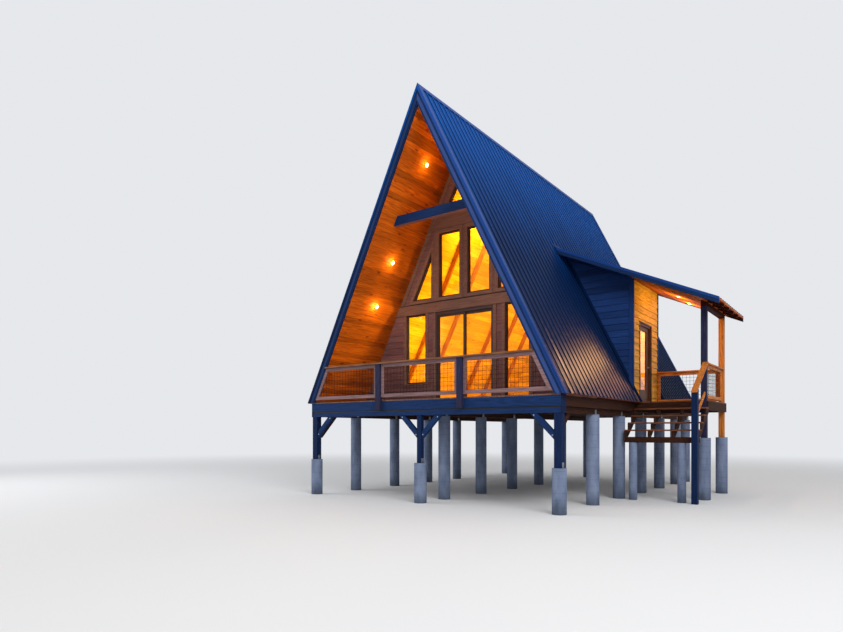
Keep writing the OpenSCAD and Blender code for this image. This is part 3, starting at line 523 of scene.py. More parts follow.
# The same stain, darkened as painted shade: corner posts, covers, the left rake and the stair's newel
SHADED_NAVY = Stained("navy_stain_painted_shade", "#142a54", "#0b1a38", "#081226")
# A violet blue on the front rail's posts, and on the porch's front post as painted shade over its pine
POST = Stained("post_stain_and_painted_shade", "#33334f", "#1e1f38", "#141426")
# Blue stain thinned with grey: the strip planted on the rake boards
STRIP = Stained("strip_stain", "#38528e", "#283e74", "#1d2f58", figure=0.1, knots=0.1, shine=0.2, spread=0.2)
# Darker blue stain on lapped cedar: flanks of the dormer
SLATE = Stained("slate_stain", "#22417c", "#152b56", "#0e1e3e", figure=0.12, knots=0.2, spread=0.5,
                fibre_gain=0.25)
# Brown stain on lapped cedar: gable walls
UMBER = Stained("umber_stain", "#88605e", "#614346", "#422c30", knots=0.2, shine=0.2, spread=0.35)
# Brown stain, darkened as painted shade under and beside the deck: side rims, joists, stringers
SHADED_BROWN = Stained("brown_stain_painted_shade", "#44271b", "#28140e", "#190c09", roughness=0.7, figure=0.22, knots=0.4,
                spread=0.5)
# Red-brown stain: rafter tails and the beam of the porch
TAIL = Stained("tail_stain", "#42190f", "#2a0e08", "#1a0805", roughness=0.65, figure=0.2, knots=0.3,
               spread=0.5)
# Knotty pine with amber oil: lining under the roof's overhang
SOFFIT = OiledPine("amber_pine", "#ce680e", "#984206", "#551e05", figure=0.2, knots=0.8, spread=0.6,
                   fibre_gain=0.4)
# The same pine indoors, painted paler and yellower as painted light for the lit rooms
HONEY = OiledPine("indoor_pine_painted_light", "#eeb424", "#ca9018", "#84560e", figure=0.2, knots=0.6, spread=0.6,
                  fibre_gain=0.45)
# Pine with a golden oil: entry wall
PINE = OiledPine("golden_pine", "#d29c30", "#a27018", "#663c0c", fibre_gain=0.6)
# Pine with an orange oil: porch rails and the back post
AMBER = OiledPine("orange_pine", "#d8843a", "#a25a22", "#6a3512", spread=0.35, fibre_gain=0.6)
# Pine of the rafters, oiled darker than the boards between them
RAFTER = OiledPine("rafter_pine", "#c07a24", "#925010", "#5a3008", spread=0.3)
# Pine as boards laid side by side, on inner faces of walls, painted pale as painted light for the lit rooms
INNER = OiledPine("inner_pine_painted_light", "#eeb426", "#ca901a", "#845610", board=0.14)
# Pine of the inner floor, lacquered and pale
FLOOR = OiledPine("floor_pine", "#f2cc70", "#d6aa50", "#8a6024", roughness=0.5, knots=0.4, shine=0.3,
                  spread=0.3, board=0.14)
# Pressure-treated deck boards, worn and a little grey
DECK = Timber("deck_wood", "#8a6754", "#553c31", "#35241d", roughness=0.78, spread=0.4)
# Brown stain of the front panels' frames, painted paler than the rims as painted light
RAIL_BROWN = Timber("rail_stain_painted_light", "#8e6f70", "#664b4e", "#422f31", figure=0.2, knots=0.3, spread=0.35)
# Red-brown oil of the front handrail
CAP = Timber("cap_stain", "#90603a", "#603c24", "#3a2214", figure=0.25, knots=0.3, spread=0.3)
# Brown stain of the flat casings, a little warmer than the siding
CASING = Timber("casing_stain", "#8a6556", "#62473f", "#402e2a", figure=0.14, knots=0.15, spread=0.25)
# Dark oiled fir of the entry door and its frame
DOOR_WOOD = Timber("door_fir", "#5e3720", "#3a1f10", "#24130a", roughness=0.5, knots=0.0, coat=0.1)
# Oiled boards of the porch deck and the treads
PORCH_BOARD = Timber("tread_pine", "#80492b", "#4e2916", "#30180c", roughness=0.65, spread=0.4)
# Blue paint on the ribbed sheets of both roofs, each with the place of its first rib, for the ribs' painted
# highlights and shade
ROOF = CoatedSteel("roof_steel", rib_at=0.035)
SHED_ROOF = CoatedSteel("shed_steel", rib_at=0.19)
# The same paint, painted lighter on bent trims as a painted reflection of the sky, and at the sheets' colours
# on the left edge, which catches less
TRIM_STEEL = CoatedSteel("trim_steel_painted_sky", "#224c9a", "#1c4288", "#1a3a76", shine=0.1)
ROOF_EDGE = CoatedSteel("edge_steel")
# Red-brown on the drip edges: painted warm light along the roof's foot
EAVE_STEEL = CoatedSteel("eave_steel_painted_warm_light", "#74382a", "#6b3020", "#54271c")
# Piers, panes, and dipped, drawn and brushed steel
CONCRETE = CastConcrete("cast_concrete")
GLASS = FloatGlass("float_glass")
GALVANISED = Metal("galvanised_steel", "#a7adb3", roughness=0.45, size=(0.03, 0.02))
WIRE = Metal("wire_steel", "#24262b", roughness=0.55)
BRUSHED = Metal("brushed_nickel", "#b9b6ae", roughness=0.3)
# Rubber and vinyl of windows and doors, then ring and lens of the lamps
GASKET = Plastic("glazing_rubber", "#17151a", roughness=0.6)
SASH = Plastic("bronze_vinyl", "#3b2824", roughness=0.45)
SLIDER = Plastic("dark_bronze", "#3c2a25")
JAMB = Plastic("umber_vinyl", "#4e3833")
RING = Plastic("lamp_enamel", "#d9c9ae", roughness=0.4)
LENS = Plastic("lamp_lens", "#ffdca0", roughness=0.3, glow=9.0)


@dataclass(frozen=True)
class Gable:
    """The main roof, measured from the ridge line and the deck's top; depths are square to its outer face."""

    half: float = 3.786
    ridge: float = 7.58
    front: float = -0.045
    back: float = 11.155
    slab_bottom: float = 0.205
    lining_bottom: float = 0.224

    @property
    def inside(self) -> float:
        """Depth of the room, a hair inside the lining."""
        return self.lining_bottom + 0.0005

    def half_at(self, depth: float, height: float = 0.0) -> float:
        """Half width of a layer at a height."""
        return self.half - depth / sin(SLOPE) - height / tan(SLOPE)

    def top_at(self, depth: float) -> float:
        """Height of a layer at the ridge line."""
        return self.ridge - depth / cos(SLOPE)

    def up(self, side: int) -> Vector:
        """Direction up a slope, whose side is 1 on the right and -1 on the left."""
        return Vector((-side * cos(SLOPE), 0.0, sin(SLOPE)))

    def out(self, side: int) -> Vector:
        """Direction square to a slope, outwards."""
        return Vector((side * sin(SLOPE), 0.0, cos(SLOPE)))

    def on_slope(self, side: int, depth: float, run: float, y: float) -> Vector:
        """A point at a distance up the slope from the deck's level.

        Args:
            side: 1 for the right slope, -1 for the left.
            depth: depth below the outer face.
            run: distance up the slope.
            y: distance behind the deck's front.

        Returns:
            The point.
        """
        return Vector((side * (self.half_at(depth) - run * cos(SLOPE)), y, run * sin(SLOPE)))

    def run_top(self, depth: float) -> float:
        """Length of a layer from the deck's level to the ridge line."""
        return self.half_at(depth) / cos(SLOPE)

    def outline(self, low: float, high: float) -> list[Flat]:
        """The room's outline between two heights.

        Args:
            low: height of its foot.
            high: height of its top, which ends at the ridge at the latest.

        Returns:
            Its corners, which run anticlockwise.
        """
        top = min(high, self.top_at(self.inside) - 0.001)
        a, b = self.half_at(self.inside, low), self.half_at(self.inside, top)
        return [(-a, low), (a, low), (b, top), (-b, top)]


@dataclass(frozen=True)
class Shed:
    """The dormer's roof and walls, and the porch under it."""

    eave_x: float = 5.82
    eave_h: float = 2.446
    front: float = 4.22
    back: float = 7.44
    wall_front: float = 4.8
    wall_back: float = 7.04
    entry_x: float = 3.582
    thick: float = 0.15

    def height(self, x: float, depth: float = 0.0) -> float:
        """Height of a layer at a distance from the ridge line."""
        return self.eave_h + (self.eave_x - x) * tan(SHED_PITCH) - depth / cos(SHED_PITCH)

    def meet(self, depth: float, roof_depth: float = 0.0) -> Flat:
        """Where a layer of this roof meets a layer of the main roof.

        Args:
            depth: depth of the layer of this roof.
            roof_depth: depth of the layer of the main roof.

        Returns:
            Distance from the ridge line, and height.
        """
        steep, low = tan(SLOPE), tan(SHED_PITCH)
        x = (GABLE.half_at(roof_depth) * steep - self.height(0.0, depth)) / (steep - low)
        return x, self.height(x, depth)


GABLE = Gable()
SHED = Shed()
# Directions down the dormer's roof, and square to it
SHED_DOWN = Vector((cos(SHED_PITCH), 0.0, -sin(SHED_PITCH)))
SHED_OUT = Vector((sin(SHED_PITCH), 0.0, cos(SHED_PITCH)))


def inset(points: Outline, amount: float) -> list[Flat]:
    """Moves an outline inwards.

    Args:
        points: corners that run anticlockwise.
        amount: distance, negative for outwards.

    Returns:
        The new corners.
    """
    moved = []
    for i, corner in enumerate(points):
        sides = []
        for a, b in ((points[i - 1], corner), (corner, points[(i + 1) % len(points)])):
            along = Vector((b[0] - a[0], b[1] - a[1])).normalized()
            sides.append(Vector((-along.y, along.x)))
        shift = amount * (sides[0] + sides[1]) / (1.0 + sides[0].dot(sides[1]))
        moved.append((corner[0] + shift.x, corner[1] + shift.y))
    return moved


def crossings(points: Outline, level: float) -> list[Flat]:
    """Spans of a level line inside an outline.

    Args:
        points: corners of the outline.
        level: height of the line.

    Returns:
        Start and end of each span, from left to right.
    """
    cuts = []
    for i, (x1, z1) in enumerate(points):
        x0, z0 = points[i - 1]
        if (z0 > level) != (z1 > level):
            cuts.append(x0 + (x1 - x0) * (level - z0) / (z1 - z0))
    cuts.sort()
    return list(zip(cuts[::2], cuts[1::2]))


def without(spans: Iterable[Flat], gaps: Iterable[Flat]) -> list[Flat]:
    """Spans with gaps taken out.

    Args:
        spans: start and end of each span.
        gaps: start and end of each gap.

    Returns:
        What is left of the spans, without stretches under 4 mm.
    """
    left = list(spans)
    for low, high in gaps:
        cut = [ends for a, b in left for ends in ((a, min(b, low)), (max(a, high), b))]
        left = [(a, b) for a, b in cut if b - a > 0.004]
    return left


def box_outline(x0: float, z0: float, x1: float, z1: float) -> list[Flat]:
    """Four corners that run anticlockwise."""
    return [(x0, z0), (x1, z0), (x1, z1), (x0, z1)]


def mirrored(points: Outline) -> list[Flat]:
    """An outline on the other side of the ridge line."""
    return [(-x, z) for x, z in reversed(points)]


def on_wall(y: float, way: int = -1) -> Place:
    """Places on a wall that faces the front, or with a way of 1 the back."""
    return lambda a, z, out: Vector((a, y + way * out, z))


def on_side(x: float, way: int = 1) -> Place:
    """Places on a wall that faces the right, or with a way of -1 the left."""
    return lambda a, z, out: Vector((x + way * out, a, z))


# Places in the house itself, by x, z and y
SECTION = on_wall(0.0, 1)


class Solids:
    """Collects closed solids and makes one piece of them."""

    def __init__(self, seed: int) -> None:
        """Starts with nothing, and with its own row of chance.

        Args:
            seed: start of that row.
        """
        self.points: list[Vector] = []
        self.faces: list[tuple[int, ...]] = []
        self.tones: list[float] = []
        self.marks: list[int] = []
        self.mark = 0
        self.chance = random.Random(seed)

    def loft(self, rings: Sequence[Sequence[Vector]], tone: float | None = None) -> None:
        """A closed solid through rings of points.

        Args:
            rings: rings with the same number of points, from one end to the other.
            tone: how much paler than the rest it is, or None for a chance tone.
        """
        shade = self.chance.uniform(-0.5, 0.5) if tone is None else tone
        first, count = len(self.points), len(rings[0])
        last = first + (len(rings) - 1) * count
        self.points += [Vector(p) for ring in rings for p in ring]
        faces = [tuple(range(first + count - 1, first - 1, -1))]
        for a in range(first, last, count):
            for i in range(count):
                j = (i + 1) % count
                faces.append((a + i, a + j, a + count + j, a + count + i))
        faces.append(tuple(range(last, last + count)))
        self.faces += faces
        self.tones += [shade] * len(faces)
        self.marks += [self.mark] * len(faces)

    def slab(self, outline: Outline, place: Place, levels: Sequence[float], tone: float = 0.0) -> None:
        """A flat shape with a thickness.

        Args:
            outline: its corners.
            place: gives a point in the house for a place on a wall and a distance out of it.
            levels: distance of its back and of its face out of the wall.
            tone: as in loft.
        """
        self.loft([[place(a, z, out) for a, z in outline] for out in levels], tone)

    def bar(self, start: Vector, end: Vector, side: Vector, width: float, thick: float, edge: float = 0.003,
            tone: float | None = None) -> None:
        """A straight board with eased edges.

        Args:
            start: middle of one end.
            end: middle of the other end.
            side: direction of the width.
            width: width.
            thick: thickness.
            edge: size of the eased edges.
            tone: as in loft.
        """
        along = (end - start).normalized()
        across = (side - along * side.dot(along)).normalized()
        up, rings = along.cross(across), []
        for middle, shrink in ((start, edge * 0.6), (start + along * edge, 0.0), (end - along * edge, 0.0),
                               (end, edge * 0.6)):
            w, t = width / 2 - shrink, thick / 2 - shrink
            flat = [(w - edge, -t), (w, edge - t), (w, t - edge), (w - edge, t),
                    (edge - w, t), (-w, t - edge), (-w, edge - t), (edge - w, -t)]
            rings.append([middle + across * a + up * b for a, b in flat])
        self.loft(rings, tone)

    def board(self, low: Sequence[float], high: Sequence[float], edge: float = 0.003,
              tone: float | None = None) -> None:
        """A board between two corners, with its length along its longest side.

        Args:
            low: lowest corner.
            high: highest corner.
            edge: size of the eased edges.
            tone: as in loft.
        """
        sizes = [b - a for a, b in zip(low, high)]
        long, wide, thin = sorted(range(3), key=lambda i: -sizes[i])
        start = Vector([(a + b) / 2 for a, b in zip(low, high)])
        end = start.copy()
        start[long], end[long] = low[long], high[long]
        self.bar(start, end, (X, Y, Z)[wide], sizes[wide], sizes[thin], edge, tone)

    def plate(self, side: int, edge: float, thick: float, ys: Flat, zs: Flat, ease: float = 0.001,
              tone: float | None = None) -> None:
        """An upright board that lies against a right or left face.

        Args:
            side: 1 for a face that looks to the right, -1 for the left.
            edge: distance of the face from the ridge line.
            thick: thickness, outwards.
            ys: its front and its back.
            zs: its foot and its top.
            ease: size of the eased edges.
            tone: as in loft.
        """
        low, high = sorted((edge, edge + side * thick))
        self.board((low, ys[0], zs[0]), (high, ys[1], zs[1]), ease, tone)

    def turned(self, centre: Vector, axis: Vector, profile: Outline, count: int) -> None:
        """A closed solid turned round an axis.

        Args:
            centre: point on the axis.
            axis: direction of the axis.
            profile: distance along the axis and radius of each ring.
            count: points of a ring.
        """
        along = axis.normalized()
        across = along.orthogonal().normalized()
        other = along.cross(across)
        turns = [2 * pi * i / count for i in range(count)]
        self.loft([[centre + along * rise + (across * cos(t) + other * sin(t)) * radius for t in turns]
                   for rise, radius in profile], 0.0)

    def bolt(self, centre: Vector, axis: Vector, size: float) -> None:
        """A hexagon head on a washer.

        Args:
            centre: middle of the washer's back.
            axis: direction in which it stands out.
            size: size in which both profiles are given.
        """
        washer, head = ((0.0, 1.25), (0.2, 1.25), (0.26, 1.1)), ((0.2, 0.8), (0.75, 0.8), (0.9, 0.6))
        for profile, count in ((washer, 12), (head, 6)):
            self.turned(centre, axis, [(size * rise, size * radius) for rise, radius in profile], count)

    def framed(self, outline: Outline, width: float, place: Place, back: float, face: float,
               edge: float = 0.004) -> None:
        """Four or three members mitred round an outline.

        Args:
            outline: outer corners.
            width: width of the members, inwards.
            place: as in slab.
            back: distance out of the wall at the back.
            face: distance out of the wall at the face.
            edge: size of the eased edges.
        """
        rings = []
        for a, b in zip(map(Vector, outline), map(Vector, inset(outline, width))):
            ease = (b - a) * (edge / width)
            flat = [(a, back), (a, face - edge), (a + ease, face),
                    (b - ease, face), (b, face - edge), (b, back)]
            rings.append([place(p.x, p.y, out) for p, out in flat])
        for one, two in zip(rings, rings[1:] + rings[:1]):
            self.loft([one, two])

    def wires(self, outline: Outline, bar: float, place: Place) -> None:
        """Two layers of round welded wires across a framed panel.

        Args:
            outline: outer corners of the panel.
            bar: width of its frame, into which the wires run.
            place: as in slab.
        """
        pitch, radius, sunk, first = 0.1, 0.0036, 0.004, 0.003
        for layer in (1, -1):
            # The upright wires are level ones of the panel laid on its side
            points, outer = ([p[::layer] for p in shape] for shape in (inset(outline, bar - sunk), outline))
            level, high = min(p[1] for p in outer) + pitch + first, max(p[1] for p in points)
            while level < high - radius:
                for span in crossings(points, level):
                    one, two = (place(*(a, level)[::layer], layer * radius) for a in span)
                    self.turned(one, two - one, [(0.0, radius), ((two - one).length, radius)], 8)
                level += pitch

    def lapped(self, outline: Outline, holes: Sequence[Outline], place: Place,
               butt: float = 0.022) -> None:
        """Horizontal lap siding inside an outline and round its holes.

        Args:
            outline: corners of the wall, whose foot is at the deck's level.
            holes: corners of each opening.
            place: as in slab.
            butt: thickness of the lower edge.
        """
        thin, exposure, longest = 0.006, 0.178, 2.4
        levels = [z for shape in (outline, *holes) for _, z in shape]
        left, right = min(p[0] for p in outline), max(p[0] for p in outline)
        top = max(p[1] for p in outline)
        for course in range(ceil(top / exposure)):
            low, high = course * exposure, min((course + 1) * exposure, top)
            joints = []
            if right - left > longest:
                joints = [left + (right - left) * self.chance.uniform(0.25, 0.75)]
            tones = [self.chance.uniform(-0.5, 0.5) for _ in range(4)]
            cuts = sorted({low, high, *(v for v in levels if low + 0.004 < v < high - 0.004)})
            for z0, z1 in zip(cuts, cuts[1:]):
                pairs = []
                for z in (z0 + 1e-4, z1 - 1e-4):
                    gaps = [gap for hole in holes for gap in crossings(hole, z)]
                    gaps += [(j - 0.001, j + 0.001) for j in joints]
                    pairs.append(without(crossings(outline, z), gaps))
                if len(pairs[0]) != len(pairs[1]):
                    continue
                out0, out1 = (butt - (butt - thin) * (z - low) / exposure for z in (z0, z1))
                for (a0, b0), (a1, b1) in zip(*pairs):
                    face = ((a0, z0, out0), (b0, z0, out0), (b1, z1, out1), (a1, z1, out1))
                    self.loft([[place(a, z, 0.0) for a, z, _ in face], [place(*p) for p in face]],
                              tones[sum(a0 > j for j in joints)])

    def piece(self, name: str, slot: str, *finishes: Material, body: Body = Body.CABIN,
              replaced: Sequence[str] = ()) -> None:
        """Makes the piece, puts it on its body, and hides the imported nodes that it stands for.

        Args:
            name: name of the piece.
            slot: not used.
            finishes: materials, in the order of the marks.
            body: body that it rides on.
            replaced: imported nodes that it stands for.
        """
        mesh = bpy.data.meshes.new(name)
        mesh.from_pydata([p + ORIGIN for p in self.points], [], self.faces)
        mesh.attributes.new("tone", "FLOAT", "FACE").data.foreach_set("value", self.tones)
        for finish in finishes:
            mesh.materials.append(finish)
        mesh.polygons.foreach_set("material_index", self.marks)
        work = bmesh.new()
        work.from_mesh(mesh)
        bmesh.ops.recalc_face_normals(work, faces=work.faces)
        work.to_mesh(mesh)
        work.free()
        mesh.polygons.foreach_set("use_smooth", [True] * len(mesh.polygons))
        mesh.set_sharp_from_angle(angle=radians(32))
        obj = bpy.data.objects.new(name, mesh)
        bpy.context.scene.collection.objects.link(obj)
        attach(obj, body.value)
        if replaced:
            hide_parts(*replaced)
        LOG.info("%s: %d faces on %s", name, len(self.faces), body.value)


def dress(node: str, *finishes: Material, rule: Rule | None = None, ease: float = 0.0) -> None:
    """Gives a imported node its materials, and eases its edges.

    Args:
        node: name of the node.
        finishes: materials.
        rule: gives the number of the material for a face, from its middle in the house and its normal.
        ease: size of the eased edges, or 0 for none.
    """
    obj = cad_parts[node]
    mesh = obj.data
    mesh.materials.clear()
    for finish in finishes:
        mesh.materials.append(finish)
    for face in mesh.polygons:
        face.material_index = rule(face.center - ORIGIN, face.normal) if rule else 0
    if ease:
        obj.modifiers.new("weld", "WELD").merge_threshold = 1e-5
        edge = obj.modifiers.new("ease", "BEVEL")
        edge.width = ease
        edge.segments = 2
        edge.limit_method = "ANGLE"
        edge.angle_limit = radians(35)
        edge.harden_normals = True
        edge.use_clamp_overlap = True
    LOG.info("%s: %d finishes", node, len(finishes))


def beyond(way: Vector, distance: float) -> Rule:
    """The second finish for faces whose middle lies further than a distance from the house's origin."""
    return lambda middle, normal: int(middle.dot(way) > distance)


def facing(way: Vector) -> Rule:
    """The second finish for faces that look a way."""
    return lambda middle, normal: int(normal.dot(way) > 0.5)


ON_LEFT = beyond(-X, 0.0)


@dataclass
class MainRoof:
    """The ribbed steel roof with its trims, screws, rake boards and slabs."""

    rib_pitch: float = 0.24
    rib_first: float = 0.035
    rib_count: int = 47
    screw_rows: int = 9
    # Thickness, and depth of the upper and the lower edge
    trim: Triple = (0.003, 0.0005, 0.066)
    hem: Triple = (0.011, 0.052, 0.066)
    strip: Triple = (0.012, 0.115, 0.188)
    # Lowest and highest corner of each fold of an eave trim
    folds: tuple[Corners, ...] = ((3.674, -0.004, 3.782, 0.0), (3.779, -0.022, 3.782, -0.004),
                                  (3.772, -0.022, 3.779, -0.019))

    def sheet_and_slabs(self) -> None:
        """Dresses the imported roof."""
        dress("roofing", ROOF(Grain.RIGHT), ROOF(Grain.LEFT), rule=ON_LEFT, ease=0.003)
        dress("roof_flashing", TRIM_STEEL(Grain.RIGHT), TRIM_STEEL(Grain.LEFT), rule=ON_LEFT)
        for part in ("left", "right_front", "right_upper", "right_back"):
            dress(f"roof_{part}", NAVY(Grain.Y))
        # The left half of the rake boards takes the darker navy as painted shade
        dress("rake_boards", NAVY(Grain.RIGHT), SHADED_NAVY(Grain.LEFT), NAVY(Grain.SHED), ease=0.004,
              rule=lambda c, n: 2 if SHED.front - 0.01 < c.y < SHED.back + 0.01 else int(c.x < 0))

    def rake_trims(self) -> None:
        """Bent steel edges with a hem over the front rake boards, and a wooden strip under them."""
        metal, wood = Solids(3), Solids(6)
        for side in (1, -1):
            # The left side takes darker finishes as painted shade
            metal.mark = wood.mark = int(side < 0)
            for work, (out, top, low) in ((metal, self.trim), (metal, self.hem), (wood, self.strip)):
                band = [(side * GABLE.half_at(top), 0.0), (side * GABLE.half_at(low), 0.0),
                        (0.0, GABLE.top_at(low)), (0.0, GABLE.top_at(top))]
                work.slab(band, on_wall(GABLE.front), (0.0, out))
        metal.piece("rake_trims", "metal_roof", TRIM_STEEL(Grain.RIGHT), ROOF_EDGE(Grain.LEFT))
        wood.piece("rake_strips", "slate_paint", STRIP(Grain.RIGHT), NAVY(Grain.LEFT))

    def eave_trims(self) -> None:
        """Folded drip edges under the foot of the sheets."""
        metal = Solids(4)
        for side, y0, y1 in ((1, GABLE.front, SHED.wall_front), (1, SHED.wall_back, GABLE.back),
                             (-1, GABLE.front, GABLE.back)):
            for fold in self.folds:
                metal.slab([(side * x, z) for x, z in box_outline(*fold)], SECTION, (y0 + 0.002, y1 - 0.002))
        metal.piece("eave_trims", "metal_roof", EAVE_STEEL(Grain.Y))

    def screws(self) -> None:
        """Hexagon screws with washers on the crests of the ribs."""
        metal = Solids(5)
        seat, size, first, last = 0.0034, 0.0075, 0.08, GABLE.run_top(0.0) - 0.16
        for side in (1, -1):
            for i in range(self.rib_count):
                y = self.rib_first + i * self.rib_pitch
                for row in range(self.screw_rows):
                    run = first + (last - first) * row / (self.screw_rows - 1)
                    point = GABLE.on_slope(side, seat, run, y)
                    if not (side == 1 and SHED.front < y < SHED.back and point.x > SHED.meet(0.0)[0] - 0.05):
                        metal.bolt(point, GABLE.out(side), size)
        metal.piece("roof_screws", "metal_roof", TRIM_STEEL(Grain.RIGHT))

    def build(self) -> None:
        """Makes the roof's pieces."""
        self.sheet_and_slabs()
        self.rake_trims()
        self.eave_trims()
        self.screws()


@dataclass
class RoofLining:
    """Tongued and grooved boards under both slopes, with the beam and rafters that cross them."""

    width: float = 0.1388
    thick: float = 0.0188
    groove: float = 0.008
    longest: float = 4.3
    joint: float = 0.0006
    foot: float = 0.02
    wall: float = 2.07
    back_wall: float = 10.75
    end: float = 11.11

    def spans(self, side: int, run: float) -> list[Flat]:
        """Where a course of boards runs.

        Args:
            side: 1 for the right slope, -1 for the left.
            run: distance of the course up the slope.

        Returns:
            Start and end of each stretch along the ridge.
        """
        low = GABLE.on_slope(side, GABLE.slab_bottom, run, 0.0)
        inside = [(self.wall, self.back_wall)]
        if side == 1 and low.z < SHED.meet(SHED.thick, GABLE.slab_bottom)[1]:
            inside = [(self.wall, SHED.wall_front - 0.002), (SHED.wall_back + 0.002, self.back_wall)]
        return [(0.002, self.wall), *inside, (self.back_wall, self.end)]

    def boards(self) -> None:
        """The boards, in lengths of up to about four metres with butt joints, and the piece at the ridge."""
        wood = Solids(11)
        middle = (GABLE.slab_bottom + GABLE.lining_bottom) / 2
        for side in (1, -1):
            for course in range(int((GABLE.run_top(GABLE.lining_bottom) - self.foot) / self.width)):
                run = self.foot + (course + 0.5) * self.width
                for start, end in self.spans(side, run + self.width / 2):
                    y, shortest = start, 0.35
                    wood.mark = int(self.wall - 0.01 < start < self.back_wall - 0.01)
                    while y < end - 0.01:
                        length = self.longest * wood.chance.uniform(shortest, 1.0)
                        stop = end if end - y - length < 0.7 else y + length
                        a, b = (GABLE.on_slope(side, middle, run, v)
                                for v in (y + self.joint, stop - self.joint))
                        wood.bar(a, b, GABLE.up(side), self.width - self.joint, self.thick, self.groove)
                        y, shortest = stop, 0.6
        ridge = GABLE.top_at(GABLE.lining_bottom)
        flat = [(x, ridge + z) for x, z in ((-0.07, -0.14), (0.07, -0.14), (0.03, -0.04), (-0.03, -0.04))]
        lengths = ((0.002, self.wall), (self.wall, self.back_wall), (self.back_wall, self.end))
        for wood.mark, ys in zip((0, 1, 0), lengths):
            wood.slab(flat, SECTION, ys, -0.2)
        wood.piece("soffit_boards", "pine_boards", SOFFIT(Grain.Y), HONEY(Grain.Y), replaced=("roof_lining",))

    def build(self) -> None:
        """Makes the lining, and dresses the timbers that cross it."""
        self.boards()
        dress("inner_rafters", RAFTER(Grain.RIGHT), RAFTER(Grain.LEFT), rule=ON_LEFT, ease=0.004)
        # The underside takes the brown stain as painted warm light from the lamps below
        dress("collar_beam", NAVY(Grain.X), UMBER(Grain.X), rule=facing(-Z), ease=0.006)


